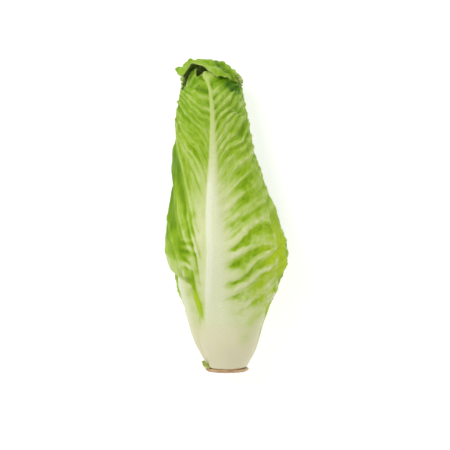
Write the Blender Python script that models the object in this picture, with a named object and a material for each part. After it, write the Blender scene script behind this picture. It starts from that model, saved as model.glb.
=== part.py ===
"""Romaine heart lying down: a cut stem and the thirteen leaves that grow from it.

Every leaf lies on a scaled copy of one outer form, like the layers of an onion, so the leaves nest
without touching. A leaf is drawn on its layer by two lengths: along its rib, and sideways from it.
The heart is shaped upright in its own coordinates, then bent, flattened and laid down.
Lengths are metres. The base is at -Y, the tips at +Y, and the front leaf looks up, along +Z.
"""

import math
from dataclasses import dataclass

import bmesh
import bpy
import numpy as np

MM = 0.001

# The outer form: height above the cut and half width, from below the cut up to the top.
OUTER_FORM = np.array([
    (-8.0, 12.2), (0.0, 14.6), (6.0, 17.4), (12.0, 20.4), (19.0, 23.2), (28.0, 25.9), (46.0, 31.6),
    (64.0, 38.4), (78.0, 42.6), (90.0, 43.8), (104.0, 40.4), (122.0, 35.2), (142.0, 31.0),
    (165.0, 27.2), (186.0, 24.4), (201.0, 21.4), (211.0, 17.0), (217.5, 10.0), (220.0, 0.0),
]) * MM
# The layers shrink towards this height on the axis.
HEART_CENTRE = 95.0 * MM
# The inner layers' tops are drawn up from this share of the way to their tips, and still end lower.
STRETCH_FROM = 0.35
STRETCH_LOSS = 55.0 * MM
# The leaves start just above the disc of stem that was cut.
LEAF_START = 2.8 * MM

# The lying heart: how flat it is, how far the axis sags, and where it leans.
FLATTENING = 0.22
FLAT_CENTRE = 92.0 * MM
FLAT_REACH = 66.0 * MM
SAG_SHARE = 0.45
LEAN = np.array([
    (-12.0, -1.6), (0.0, -1.2), (12.0, -0.4), (28.0, -1.2), (50.0, -0.8), (86.0, 0.0), (104.0, -2.4),
    (120.0, -4.4), (148.0, -9.0), (170.0, -11.8), (190.0, -12.6), (221.0, -11.6),
]) * MM
# The weight presses a flat spot into the underside.
PRESS_DEPTH = 2.6 * MM
PRESS_FADE = 0.6

# The stem's half outline, as radius and height: the cut disc under the leaves, then a cone inside them.
STEM_OUTLINE = np.array([
    (0.0, 0.0), (13.3, 0.0), (14.3, 0.8), (14.3, 1.8), (13.5, 2.5), (9.2, 2.5), (2.8, 52.0),
    (1.8, 53.6), (0.0, 54.0),
]) * MM
STEM_SIDES = 24

OUTER_GRID = (14, 24)
INNER_GRID = (11, 17)
BLADE_THICKNESS = 0.9 * MM
RIM_THICKNESS = 0.65 * MM
# A leaf's facing is measured over this distance each way.
PROBE = 0.4 * MM
# A leaf thins where it meets the stem, which it leaves at a slant.
ROOT_EDGE = 0.7 * MM
ROOT_SLOPE = 0.3
ROOT_SKIRT = 3.0 * MM

LEAF_GREEN = (0.30, 0.50, 0.07, 1.0)
STEM_CREAM = (0.78, 0.72, 0.52, 1.0)


@dataclass
class Leaf:
    """One leaf, in millimetres on the outer form. Curves are (share of the length, value) pairs.

    angle is the rib's, in degrees from the front towards +X, and turn is added to it along the leaf.
    layer and base_layer are 1 on the outer form and less inside it. tip_line is how much shorter the
    blade is than its length, from its left margin, at -1, to its right one, at 1. The rest shape the
    rib and the margins.
    """

    name: str
    angle: float
    layer: float
    base_layer: float
    length: float
    left: tuple
    right: tuple
    tip_line: tuple = ((-1.0, 26.0), (-0.6, 12.0), (0.0, 0.0), (0.6, 12.0), (1.0, 26.0))
    tip_layer: float = 0.0
    rib_thickness: float = 5.4
    rib_half_width: float = 13.0
    rib_rise: float = 0.0
    rib_drift: tuple = ((0.0, 0.0), (1.0, 0.0))
    turn: tuple = ((0.0, 0.0), (1.0, 0.0))
    margin_tuck: float = 0.012
    ruffle: float = 0.0
    wave: float = 0.8
    wave_count: float = 5.0
    root_spread: float = 0.0
    layer_change: tuple = (0.03, 0.3)
    grid: tuple = OUTER_GRID


# Half widths of the inner leaves.
INNER_WIDTH = (
    (0.0, 12.5), (0.12, 17.5), (0.26, 28.0), (0.42, 43.5),
    (0.6, 56.0), (0.78, 58.0), (0.92, 48.5), (1.0, 38.5),
)

OUTER_LEAVES = (
    Leaf(
        "leaf_front", angle=-2.0, layer=1.0, base_layer=1.0, length=230.0,
        left=(
            (0.0, 15.0), (0.17, 19.0), (0.24, 22.5), (0.28, 27.0), (0.31, 42.0), (0.34, 60.0),
            (0.4, 63.0), (0.5, 58.0), (0.65, 48.0), (0.85, 40.0), (1.0, 30.0),
        ),
        right=(
            (0.0, 18.5), (0.08, 26.0), (0.17, 34.0), (0.24, 34.5), (0.28, 37.0), (0.33, 43.0),
            (0.4, 49.0), (0.5, 53.0), (0.65, 45.0), (0.85, 40.0), (1.0, 32.0),
        ),
        tip_line=((-1.0, 24.0), (-0.7, 15.0), (-0.3, 14.0), (-0.1, 2.0), (0.3, 0.0), (1.0, 0.0)),
        tip_layer=-0.022, rib_half_width=19.0, rib_thickness=5.0, rib_rise=1.4,
        rib_drift=((0.0, -1.0), (0.26, -8.2), (0.43, -8.0), (0.59, -4.8), (0.73, 0.2), (0.9, 2.0), (1.0, 1.5)),
        margin_tuck=-0.006, ruffle=0.02, wave=1.2, wave_count=7.0,
    ),
    Leaf(
        "leaf_back", angle=176.0, layer=0.985, base_layer=1.0, length=268.0,
        left=(
            (0.0, 12.0), (0.12, 18.5), (0.26, 31.0), (0.4, 43.0),
            (0.6, 38.0), (0.78, 33.0), (0.9, 29.0), (1.0, 26.0),
        ),
        right=(
            (0.0, 12.0), (0.12, 18.5), (0.26, 31.0), (0.4, 44.0),
            (0.6, 38.0), (0.78, 33.0), (0.9, 25.0), (1.0, 14.0),
        ),
        tip_line=((-1.0, 2.0), (-0.35, -4.0), (0.0, 1.0), (0.7, 12.0), (1.0, 20.0)),
        tip_layer=0.047, rib_half_width=17.0, rib_thickness=5.0, rib_rise=1.2,
        margin_tuck=-0.003, ruffle=0.02, wave=1.2, wave_count=8.0,
    ),
    Leaf(
        "leaf_right", angle=108.0, layer=0.90, base_layer=0.96, length=236.0,
        left=(
            (0.0, 5.5), (0.05, 7.0), (0.12, 13.0), (0.26, 29.0),
            (0.42, 46.0), (0.6, 56.0), (0.8, 54.0), (1.0, 40.0),
        ),
        right=(
            (0.0, 4.5), (0.05, 6.0), (0.12, 12.0), (0.26, 19.0), (0.6, 19.0), (0.8, 19.0), (1.0, 16.0),
        ),
        turn=((0.0, -8.0), (0.12, -4.0), (0.3, 0.0), (1.0, 0.0)), layer_change=(0.36, 0.6),
    ),
    Leaf(
        "leaf_left", angle=-64.0, layer=0.85, base_layer=0.97, length=240.0,
        left=(
            (0.0, 7.0), (0.05, 11.0), (0.12, 17.0), (0.26, 31.0),
            (0.42, 43.0), (0.6, 52.0), (0.8, 52.0), (1.0, 36.0),
        ),
        right=((0.0, 8.0), (0.12, 9.0), (0.26, 12.0), (0.42, 28.0), (0.6, 46.0), (0.8, 48.0), (1.0, 36.0)),
        turn=((0.0, -34.0), (0.08, -26.0), (0.2, -6.0), (0.3, 0.0), (1.0, 0.0)),
        rib_thickness=4.7, rib_rise=0.8, layer_change=(0.27, 0.44),
    ),
)

INNER_COUNT = 9
INNER_FIRST_ANGLE = 38.0
GOLDEN_ANGLE = 137.5
INNER_FIRST_LAYER = 0.78
INNER_LAYER_STEP = 0.053
INNER_LENGTH = 236.0
INNER_SHORTENING = 1.5
INNER_RIB_THICKNESS = 5.2
INNER_RIB_HALF_WIDTH = 12.0


def inner_leaves():
    """The leaves under the outer four, each a golden angle further round and one layer further in."""
    for n in range(INNER_COUNT):
        layer = INNER_FIRST_LAYER - n * INNER_LAYER_STEP
        yield Leaf(
            f"leaf_inner_{n + 1}", angle=INNER_FIRST_ANGLE + n * GOLDEN_ANGLE, layer=layer, base_layer=layer,
            length=INNER_LENGTH - n * INNER_SHORTENING, left=INNER_WIDTH, right=INNER_WIDTH,
            rib_thickness=INNER_RIB_THICKNESS * layer, rib_half_width=INNER_RIB_HALF_WIDTH,
            wave_count=4.0 + n % 3, grid=INNER_GRID,
        )


def smooth_curve(stations, at):
    """Values of a smooth curve through (station, value) pairs, flat beyond its ends."""
    xs, ys = np.asarray(stations, float).T
    slopes = np.gradient(ys, xs)
    at = np.clip(at, xs[0], xs[-1])
    i = np.clip(np.searchsorted(xs, at) - 1, 0, len(xs) - 2)
    span = xs[i + 1] - xs[i]
    f = (at - xs[i]) / span
    return (
        (1 + 2 * f) * (1 - f) ** 2 * ys[i] + f * (1 - f) ** 2 * span * slopes[i]
        + f * f * (3 - 2 * f) * ys[i + 1] + f * f * (f - 1) * span * slopes[i + 1]
    )


def ease(low, high, at):
    """0 below low, 1 above high, and smooth between."""
    f = np.clip((at - low) / (high - low), 0.0, 1.0)
    return f * f * (3 - 2 * f)


class OuterForm:
    """The form that all layers copy, as tables along its meridian, up one side and down the other."""

    SAMPLES = 900

    def __init__(self):
        up = OUTER_FORM
        whole = np.vstack([up, up[-2:3:-1] * (1.0, -1.0)])
        chord = np.concatenate([[0.0], np.cumsum(np.hypot(*np.diff(whole, axis=0).T))])
        fine = np.linspace(0.0, chord[-1], self.SAMPLES)
        self.height = smooth_curve(np.column_stack([chord, whole[:, 0]]), fine)
        self.radius = smooth_curve(np.column_stack([chord, whole[:, 1]]), fine)
        steps = np.hypot(np.diff(self.height), np.diff(self.radius))
        self.along = np.concatenate([[0.0], np.cumsum(steps)])
        rise, run = np.gradient(self.height, self.along), np.gradient(self.radius, self.along)
        self.normal_height, self.normal_radius = -run, rise
        away = np.abs(self.radius) > 3.0 * MM
        sideways_radius = (self.radius / self.normal_radius)[away]
        self.sideways_radius = np.interp(self.along, self.along[away], sideways_radius)
        one_side = self.radius >= 0.0
        self.top = int(np.argmax(self.height))
        polar = np.arctan2(self.radius, self.height - HEART_CENTRE)[one_side]
        reach = np.hypot(self.radius, self.height - HEART_CENTRE)[one_side]
        order = np.argsort(polar)
        self.polar, self.reach = polar[order], reach[order]

    def reach_at(self, axial, off_axis):
        """Distance from the heart's centre to the form, in the direction of a point."""
        return np.interp(np.arctan2(off_axis, axial), self.polar, self.reach)

    def point(self, angle, along, sideways):
        """Points (x, height, z) on the form, from the lengths along and sideways of the meridian at angle."""
        tables = (self.height, self.radius, self.normal_height, self.normal_radius, self.sideways_radius)
        height, radius, normal_height, normal_radius, bend = (np.interp(along, self.along, t) for t in tables)
        fall = bend * (1.0 - np.cos(sideways / bend))
        axial = height - fall * normal_height - HEART_CENTRE
        outward = radius - fall * normal_radius
        across = bend * np.sin(sideways / bend)
        scale = self.reach_at(axial, np.hypot(outward, across)) / np.sqrt(axial**2 + outward**2 + across**2)
        axial, outward, across = axial * scale, outward * scale, across * scale
        return np.stack([
            outward * np.sin(angle) + across * np.cos(angle),
            axial + HEART_CENTRE,
            outward * np.cos(angle) - across * np.sin(angle),
        ], axis=-1)

    def stretch(self, points, layer):
        """Draws the tops of the inner layers up, so that they reach nearly as high as the outer one."""
        whole = self.height[self.top] - HEART_CENTRE
        plain = whole * layer
        start = STRETCH_FROM * plain
        above = np.clip((points[..., 1] - HEART_CENTRE - start) / (plain - start), 0.0, 1.2)
        drawn = points.copy()
        drawn[..., 1] += (whole - STRETCH_LOSS * (1.0 - layer) - plain) * above**1.5
        return drawn

    def layer_of(self, points):
        """Which layer each point is on: 1 on the outer form, less inside it."""
        axial = points[..., 1] - HEART_CENTRE
        off_axis = np.hypot(points[..., 0], points[..., 2])
        return np.hypot(axial, off_axis) / self.reach_at(axial, off_axis)


FORM = OuterForm()
CENTRE = np.array([0.0, HEART_CENTRE, 0.0])
HALF_WIDTH = OUTER_FORM[:, 1].max()


def lean_and_flatten(points):
    """The upright heart, bent sideways and made flatter, with its axis sagging as it lies."""
    x, height, z = np.moveaxis(points, -1, 0)
    flat = 1.0 - FLATTENING * np.exp(-(((height - FLAT_CENTRE) / FLAT_REACH) ** 2))
    half_width = smooth_curve(OUTER_FORM[:-1], height)
    depth = HALF_WIDTH * (1.0 - FLATTENING)
    sag = SAG_SHARE * (half_width * flat - depth)
    return np.stack([x + smooth_curve(LEAN, height), height, z * flat + sag], axis=-1)


BOTTOM_LAYER = OUTER_LEAVES[1].layer
FLOOR = -BOTTOM_LAYER * HALF_WIDTH * (1.0 - FLATTENING) + PRESS_DEPTH


def lay_down(points):
    """Takes upright points to where they lie, with the underside pressed flat."""
    layer = FORM.layer_of(points)[..., None]
    lowest = lean_and_flatten(CENTRE + (points - CENTRE) * BOTTOM_LAYER / layer)[..., 2]
    depth = np.clip(1.0 - (BOTTOM_LAYER - layer[..., 0]) / PRESS_FADE, 0.0, 1.0) ** 2
    laid = lean_and_flatten(points)
    laid[..., 2] = np.maximum(laid[..., 2] + np.maximum(0.0, FLOOR - lowest) * depth - FLOOR, 0.0)
    return laid


def half_width_at(leaf, share, side):
    """The leaf's half width on each point's own side, on the outer form."""
    return np.where(side < 0.0, smooth_curve(leaf.left, share), smooth_curve(leaf.right, share)) * MM


def along_rib(leaf, share):
    """Length along the outer form, from the leaf's start above the cut disc or higher up, to its tip."""
    root_height = HEART_CENTRE - (HEART_CENTRE - LEAF_START) / leaf.base_layer
    root = np.interp(root_height, FORM.height[: FORM.top], FORM.along[: FORM.top])
    return root + (leaf.length * MM - root) * share


def rib_profile(leaf, share, side):
    """The rib's height, from 1 on its ridge at the root to 0 beside it, and less towards the tip."""
    half_width = leaf.rib_half_width * MM * (1.0 - 0.76 * ease(0.0, 0.85, share))
    across = np.clip(np.abs(side) * half_width_at(leaf, share, side) / half_width, 0.0, 1.0)
    return (1.0 - across**2) ** (1.0 + ease(0.0, 0.2, share)) * (1.0 - 0.8 * ease(0.1, 0.9, share))


def leaf_surface(leaf, share, side):
    """Upright points on the leaf's layer: share runs from root to tip, side from -1 to 1 across."""
    size = np.abs(side)
    along = along_rib(leaf, share) - smooth_curve(leaf.tip_line, side) * MM * ease(0.55, 1.0, share)
    along = along - ROOT_SKIRT * size**2 * (1.0 - ease(0.0, 0.1, share))
    swing = 2 * math.pi * leaf.wave_count * share + 2.0 * np.sign(side)
    width = half_width_at(leaf, share, side) + leaf.root_spread * MM * (1.0 - ease(0.05, 0.24, share))
    width = width + leaf.wave * MM * np.sin(swing) * size**3
    sideways = smooth_curve(leaf.rib_drift, share) * MM * (1.0 - size**2) + side * width
    layer = leaf.base_layer + (leaf.layer - leaf.base_layer) * ease(*leaf.layer_change, share)
    layer = layer + leaf.tip_layer * ease(0.72, 0.95, share) - leaf.margin_tuck * size**3
    layer = layer + leaf.ruffle * np.cos(swing) ** 2 * size**4 * ease(0.2, 0.4, share)
    point = FORM.point(np.radians(leaf.angle + smooth_curve(leaf.turn, share)), along, sideways)
    return FORM.stretch(CENTRE + (point - CENTRE) * layer[..., None], layer)


def leaf_thickness(leaf, share, side):
    """The leaf's thickness: a fleshy rib that thins upwards, and a thin blade."""
    blade = BLADE_THICKNESS + (RIM_THICKNESS - BLADE_THICKNESS) * np.abs(side) ** 3
    room = ROOT_EDGE + ROOT_SLOPE * along_rib(leaf, share) * leaf.base_layer
    return np.minimum(blade + leaf.rib_thickness * MM * rib_profile(leaf, share, side), room)


def leaf_points(leaf, share, side, inner):
    """Laid points of the leaf's outer face, or of its inner face where inner is 1."""
    here = leaf_surface(leaf, share, side)
    step = PROBE / (leaf.length * MM)
    along = leaf_surface(leaf, share + step, side) - leaf_surface(leaf, share - step, side)
    across = leaf_surface(leaf, share, side + step) - leaf_surface(leaf, share, side - step)
    outward = np.cross(across, along)
    outward /= np.linalg.norm(outward, axis=-1, keepdims=True)
    rise = leaf.rib_rise * MM * rib_profile(leaf, share, side) * ease(0.0, 0.1, share)
    height = np.where(inner > 0.5, -leaf_thickness(leaf, share, side), rise)
    points = here + outward * height[..., None]
    points[..., 1] = np.maximum(points[..., 1], LEAF_START)
    return lay_down(points)


def material(name, colour, roughness):
    """A plain finish for one sub-part."""
    made = bpy.data.materials.new(name)
    made.use_nodes = True
    shader = made.node_tree.nodes["Principled BSDF"]
    shader.inputs["Base Color"].default_value = colour
    shader.inputs["Roughness"].default_value = roughness
    shader.inputs["Metallic"].default_value = 0.0
    return made


def add_object(name, mesh_data, finish):
    """Turns a bmesh into a named, smooth-shaded object."""
    mesh = bpy.data.meshes.new(name)
    mesh_data.to_mesh(mesh)
    mesh_data.free()
    mesh.materials.append(finish)
    mesh.shade_smooth()
    made = bpy.data.objects.new(name, mesh)
    bpy.context.scene.collection.objects.link(made)
    return made


def build_leaf(leaf, finish):
    """A leaf as one closed solid: a grid, thickened by extrusion, then moved to its two faces."""
    bm = bmesh.new()
    columns, rows = leaf.grid
    bmesh.ops.create_grid(bm, x_segments=columns, y_segments=rows, size=1.0)
    bmesh.ops.triangulate(bm, faces=bm.faces[:], quad_method="FIXED")
    raised = bmesh.ops.extrude_face_region(bm, geom=bm.faces[:], use_keep_orig=True)["geom"]
    raised = {v for v in raised if isinstance(v, bmesh.types.BMVert)}
    flat = np.array([v.co[:2] for v in bm.verts])
    inner = np.array([float(v in raised) for v in bm.verts])
    side = np.sign(flat[:, 0]) * np.abs(flat[:, 0]) ** 1.25
    share = (flat[:, 1] + 1.0) / 2.0
    for vert, point in zip(bm.verts, leaf_points(leaf, share, side, inner)):
        vert.co = point
    bmesh.ops.recalc_face_normals(bm, faces=bm.faces[:])
    return add_object(leaf.name, bm, finish)


def build_stem(finish):
    """The short stem, as its half outline turned about the axis."""
    bm = bmesh.new()
    outline = [bm.verts.new((radius, 0.0, height)) for radius, height in STEM_OUTLINE]
    edges = [bm.edges.new(pair) for pair in zip(outline, outline[1:])]
    bmesh.ops.spin(
        bm, geom=outline + edges, cent=(0.0, 0.0, 0.0), axis=(0.0, 0.0, 1.0), angle=2.0 * math.pi,
        steps=STEM_SIDES, use_merge=True,
    )
    bmesh.ops.remove_doubles(bm, verts=bm.verts[:], dist=0.01 * MM)
    for vert in bm.verts:
        vert.co = lay_down(np.array([vert.co.x, vert.co.z, -vert.co.y]))
    bmesh.ops.recalc_face_normals(bm, faces=bm.faces[:])
    return add_object("stem", bm, finish)


def centre_on_origin(pieces):
    """Moves the whole heart so that the origin is under the middle of its box."""
    corners = np.vstack([[v.co[:] for v in piece.data.vertices] for piece in pieces])
    low, high = corners.min(axis=0), corners.max(axis=0)
    for piece in pieces:
        piece.location = (-(low[0] + high[0]) / 2.0, -(low[1] + high[1]) / 2.0, -low[2])


def main():
    """Clears the scene and builds the heart."""
    for old in list(bpy.data.objects):
        bpy.data.objects.remove(old)
    leaf_finish = material("leaf", LEAF_GREEN, 0.45)
    stem_finish = material("stem", STEM_CREAM, 0.6)
    pieces = [build_stem(stem_finish)]
    pieces += [build_leaf(leaf, leaf_finish) for leaf in (*OUTER_LEAVES, *inner_leaves())]
    centre_on_origin(pieces)


main()
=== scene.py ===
"""The looks of a romaine heart that lies on a pale floor.

It has thirteen leaves, the cut stem and a torn scrap beside the cut. Each leaf is drawn on a scaled
copy of the heart's outer form, as in the part's source, and then gets its veins, puckers and ragged
margins. Lengths in the tables are millimetres. Heights run upright from the cut to the tips; the
heart is laid down last, with its base at -Y and its front up.
"""

import logging
import math
from dataclasses import dataclass, field
from enum import Enum

import bmesh
import bpy
import numpy as np
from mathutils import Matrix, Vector


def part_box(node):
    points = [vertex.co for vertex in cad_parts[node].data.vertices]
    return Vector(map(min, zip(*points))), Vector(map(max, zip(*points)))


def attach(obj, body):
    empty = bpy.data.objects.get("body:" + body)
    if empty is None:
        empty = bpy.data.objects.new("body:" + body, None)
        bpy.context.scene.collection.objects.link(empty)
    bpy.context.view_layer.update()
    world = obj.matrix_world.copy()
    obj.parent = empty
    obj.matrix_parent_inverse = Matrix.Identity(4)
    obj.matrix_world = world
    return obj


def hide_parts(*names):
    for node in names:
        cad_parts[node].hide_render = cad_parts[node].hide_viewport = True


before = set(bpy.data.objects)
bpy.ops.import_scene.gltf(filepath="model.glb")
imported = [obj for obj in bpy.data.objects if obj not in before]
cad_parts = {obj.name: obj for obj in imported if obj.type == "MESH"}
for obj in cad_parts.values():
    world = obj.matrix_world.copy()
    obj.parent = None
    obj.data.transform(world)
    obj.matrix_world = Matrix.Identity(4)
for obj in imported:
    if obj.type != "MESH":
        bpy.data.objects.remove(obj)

LOG = logging.getLogger("romaine_heart")
MM = 0.001
UV_LENGTH = 100.0
BODY = "root"
HEART_LENGTH = 220.0
Curve = tuple[tuple[float, float], ...]
Span = tuple[float, float]


class Slot(Enum):
    """The record's material slots."""

    OUTER = "outer_leaf"
    INNER = "inner_leaf"
    STEM = "stem"


def smooth_curve(stations: Curve, at: np.ndarray) -> np.ndarray:
    """A smooth curve through (station, value) pairs, flat beyond its ends.

    Args:
        stations: The pairs, in rising order of station.
        at: Where to read the curve.

    Returns:
        The curve's values there.
    """
    xs, ys = np.asarray(stations, float).T
    slopes = np.gradient(ys, xs)
    at = np.clip(at, xs[0], xs[-1])
    i = np.clip(np.searchsorted(xs, at) - 1, 0, len(xs) - 2)
    span = xs[i + 1] - xs[i]
    f = (at - xs[i]) / span
    return (
        (1 + 2 * f) * (1 - f) ** 2 * ys[i] + f * (1 - f) ** 2 * span * slopes[i]
        + f * f * (3 - 2 * f) * ys[i + 1] + f * f * (f - 1) * span * slopes[i + 1]
    )


def ease(low: float, high: float, at: np.ndarray) -> np.ndarray:
    """0 below low, 1 above high, and smooth between."""
    f = np.clip((at - low) / (high - low), 0.0, 1.0)
    return f * f * (3 - 2 * f)


def band(start: Span, end: Span, at: np.ndarray) -> np.ndarray:
    """1 from the end of one span to the beginning of another, fading to 0 over each."""
    return ease(*start, at) * (1.0 - ease(*end, at))


def bell(at: np.ndarray, middle: float, spread: float, power: int = 2) -> np.ndarray:
    """A bell curve: 1 at its middle, and less away from it."""
    return np.exp(-(((at - middle) / spread) ** power))


class Noise:
    """Repeatable noise on a plane."""

    MASK = np.uint64(0xFFFFFFFF)
    COLUMN_FACTOR = 374761393
    ROW_FACTOR = 668265263
    SEED_FACTOR = 2246822519
    STIRS = ((15, 2246822519), (13, 3266489917))
    CELL_INSET = 0.15
    CELL_ROOM = 0.7

    @classmethod
    def hashed(cls, column: np.ndarray, row: np.ndarray, seed: int) -> np.ndarray:
        """A number from 0 to 1 for each pair of whole numbers."""
        mixed = (np.asarray(column, np.int64) * cls.COLUMN_FACTOR).astype(np.uint64)
        mixed = mixed + (np.asarray(row, np.int64) * cls.ROW_FACTOR).astype(np.uint64)
        mixed = (mixed + np.uint64(seed * cls.SEED_FACTOR + 97)) & cls.MASK
        for shift, factor in cls.STIRS:
            mixed = ((mixed ^ (mixed >> np.uint64(shift))) * np.uint64(factor)) & cls.MASK
        return (mixed ^ (mixed >> np.uint64(16))).astype(float) / float(cls.MASK)

    @classmethod
    def smooth(cls, x: np.ndarray, y: np.ndarray, seed: int) -> np.ndarray:
        """Smooth noise from -1 to 1, with bumps one unit apart."""
        column, row = np.floor(x), np.floor(y)
        fx, fy = ease(0.0, 1.0, x - column), ease(0.0, 1.0, y - row)
        low, high = (
            cls.hashed(column, there, seed) * (1 - fx) + cls.hashed(column + 1, there, seed) * fx
            for there in (row, row + 1)
        )
        return 2.0 * (low * (1 - fy) + high * fy) - 1.0

    @classmethod
    def rough(
        cls, x: np.ndarray, y: np.ndarray, coarse: Span, fine: Span, share: float, seeds: tuple[int, int],
    ) -> np.ndarray:
        """Smooth noise with finer noise on it.

        Args:
            x, y: Where to read it.
            coarse: The size of the noise's bumps in x and y.
            fine: The same for the finer noise.
            share: How strong the finer noise is.
            seeds: The two patterns.

        Returns:
            The sum, which runs from -1 to 1 and a little further.
        """
        plain = cls.smooth(x / coarse[0], y / coarse[1], seeds[0])
        return plain + share * cls.smooth(x / fine[0], y / fine[1], seeds[1])

    @classmethod
    def cells(cls, x: np.ndarray, y: np.ndarray, seed: int) -> tuple[np.ndarray, np.ndarray]:
        """Irregular cells about one unit across.

        Args:
            x, y: Where to read them.
            seed: Which pattern.

        Returns:
            How far each point is from its cell's border, about 0 to 1, and the cell's own number.
        """
        column, row = np.floor(x), np.floor(y)
        first = np.full(np.shape(x), 9.0)
        second = first.copy()
        own = first.copy()
        for i in (-1, 0, 1):
            for j in (-1, 0, 1):
                corner = (column + i, row + j)
                there_x = column + i + cls.CELL_INSET + cls.CELL_ROOM * cls.hashed(*corner, seed)
                there_y = row + j + cls.CELL_INSET + cls.CELL_ROOM * cls.hashed(*corner, seed + 31)
                away = np.hypot(x - there_x, y - there_y)
                nearer = away < first
                second = np.where(nearer, first, np.minimum(second, away))
                own = np.where(nearer, cls.hashed(*corner, seed + 57), own)
                first = np.where(nearer, away, first)
        return second - first, own


@dataclass
class HeartForm:
    """The outer form that every leaf copies, and how the upright heart lies down.

    profile is the form's half width by height, and lean is how far its axis bends to the side. Layers
    shrink towards centre_height, and stretch_from and stretch_loss draw their tops up again.
    flattening makes the heart less thick than wide, most at flat_centre, sag_share lets its axis sag,
    and press_depth flattens the strip that it lies on. Within soft_reach of the widest place the
    form's normals are averaged, so that broad leaves don't fold there.
    """

    profile: Curve = (
        (-8.0, 12.2), (0.0, 14.6), (6.0, 17.4), (12.0, 20.4), (19.0, 23.2), (28.0, 25.9), (46.0, 31.6),
        (64.0, 38.4), (78.0, 42.6), (90.0, 43.8), (104.0, 40.4), (122.0, 35.2), (142.0, 31.0),
        (165.0, 27.2), (186.0, 24.4), (201.0, 21.4), (211.0, 17.0), (217.5, 10.0), (220.0, 0.0),
    )
    centre_height: float = 95.0
    leaf_start: float = 2.8
    flattening: float = 0.22
    flat_centre: float = 92.0
    flat_reach: float = 66.0
    sag_share: float = 0.45
    lean: Curve = (
        (-12.0, -1.6), (0.0, -1.2), (12.0, -0.4), (28.0, -1.2), (50.0, -0.8), (86.0, 0.0), (104.0, -2.4),
        (120.0, -4.4), (148.0, -9.0), (170.0, -11.8), (190.0, -12.6), (221.0, -11.6),
    )
    press_depth: float = 2.6
    press_fade: float = 0.6
    bottom_layer: float = 0.985
    stretch_from: float = 0.35
    stretch_loss: float = 55.0
    samples: int = 900
    soft_window: int = 71
    soft_reach: float = 40.0
    axis_gap: float = 3.0

    def __post_init__(self) -> None:
        """Tabulates the form along its meridian, up one side and down the other."""
        up = np.array(self.profile)
        whole = np.vstack([up, up[-2:3:-1] * (1.0, -1.0)])
        chord = np.concatenate([[0.0], np.cumsum(np.hypot(*np.diff(whole, axis=0).T))])
        fine = np.linspace(0.0, chord[-1], self.samples)
        self.height = smooth_curve(np.column_stack([chord, whole[:, 0]]), fine)
        self.radius = smooth_curve(np.column_stack([chord, whole[:, 1]]), fine)
        steps = np.hypot(np.diff(self.height), np.diff(self.radius))
        self.along = np.concatenate([[0.0], np.cumsum(steps)])
        rise, run = np.gradient(self.height, self.along), np.gradient(self.radius, self.along)
        widest = self.along[int(np.argmax(self.radius))]
        self.normal_height = self.softened(-run, widest)
        self.normal_radius = self.softened(rise, widest)
        away = np.abs(self.radius) > self.axis_gap
        bend = (self.radius / self.normal_radius)[away]
        self.sideways_radius = np.interp(self.along, self.along[away], bend)
        one_side = self.radius >= 0.0
        self.top = int(np.argmax(self.height))
        polar = np.arctan2(self.radius, self.height - self.centre_height)[one_side]
        reach = np.hypot(self.radius, self.height - self.centre_height)[one_side]
        order = np.argsort(polar)
        self.polar, self.reach = polar[order], reach[order]
        self.centre = np.array([0.0, self.centre_height, 0.0])
        self.depth = max(width for _, width in self.profile) * (1.0 - self.flattening)
        self.floor = self.press_depth - self.bottom_layer * self.depth
        self.shift = np.zeros(3)

    def softened(self, values: np.ndarray, widest: float) -> np.ndarray:
        """A table along the meridian, averaged around the form's widest place."""
        window = np.ones(self.soft_window) / self.soft_window
        padded = np.pad(values, self.soft_window // 2, mode="edge")
        share = bell(self.along, widest, self.soft_reach)
        return values + share * (np.convolve(padded, window, mode="valid") - values)

    def along_at(self, height: np.ndarray) -> np.ndarray:
        """Length along the meridian at a height on its way up."""
        return np.interp(height, self.height[: self.top], self.along[: self.top])

    def reach_at(self, axial: np.ndarray, off_axis: np.ndarray) -> np.ndarray:
        """Distance from the heart's centre to the form, in the direction of a point."""
        return np.interp(np.arctan2(off_axis, axial), self.polar, self.reach)

    def point(self, angle: np.ndarray, along: np.ndarray, sideways: np.ndarray) -> np.ndarray:
        """Upright points on the form.

        Args:
            angle: The meridian's angle from the front, in radians.
            along: Length along that meridian.
            sideways: Length sideways of it.

        Returns:
            Points as x, height and z.
        """
        tables = (self.height, self.radius, self.normal_height, self.normal_radius, self.sideways_radius)
        height, radius, normal_height, normal_radius, bend = (
            np.interp(along, self.along, table) for table in tables
        )
        fall = bend * (1.0 - np.cos(sideways / bend))
        axial = height - fall * normal_height - self.centre_height
        outward = radius - fall * normal_radius
        across = bend * np.sin(sideways / bend)
        away = np.sqrt(axial**2 + outward**2 + across**2)
        scale = self.reach_at(axial, np.hypot(outward, across)) / away
        axial, outward, across = axial * scale, outward * scale, across * scale
        return np.stack([
            outward * np.sin(angle) + across * np.cos(angle),
            axial + self.centre_height,
            outward * np.cos(angle) - across * np.sin(angle),
        ], axis=-1)

    def stretch(self, points: np.ndarray, layer: np.ndarray) -> np.ndarray:
        """Draws the tops of the inner layers up, so that they reach nearly as high as the outer one."""
        top = self.height[self.top]
        plain = (top - self.centre_height) * layer
        wanted = top - self.centre_height - self.stretch_loss * (1.0 - layer)
        start = self.stretch_from * plain
        above = np.clip((points[..., 1] - self.centre_height - start) / (plain - start), 0.0, 1.2)
        drawn = points.copy()
        drawn[..., 1] += (wanted - plain) * above**1.5
        return drawn

    def layer_of(self, points: np.ndarray) -> np.ndarray:
        """Which layer each upright point is on: 1 on the outer form, less inside it."""
        axial = points[..., 1] - self.centre_height
        off_axis = np.hypot(points[..., 0], points[..., 2])
        return np.hypot(axial, off_axis) / self.reach_at(axial, off_axis)

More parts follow.
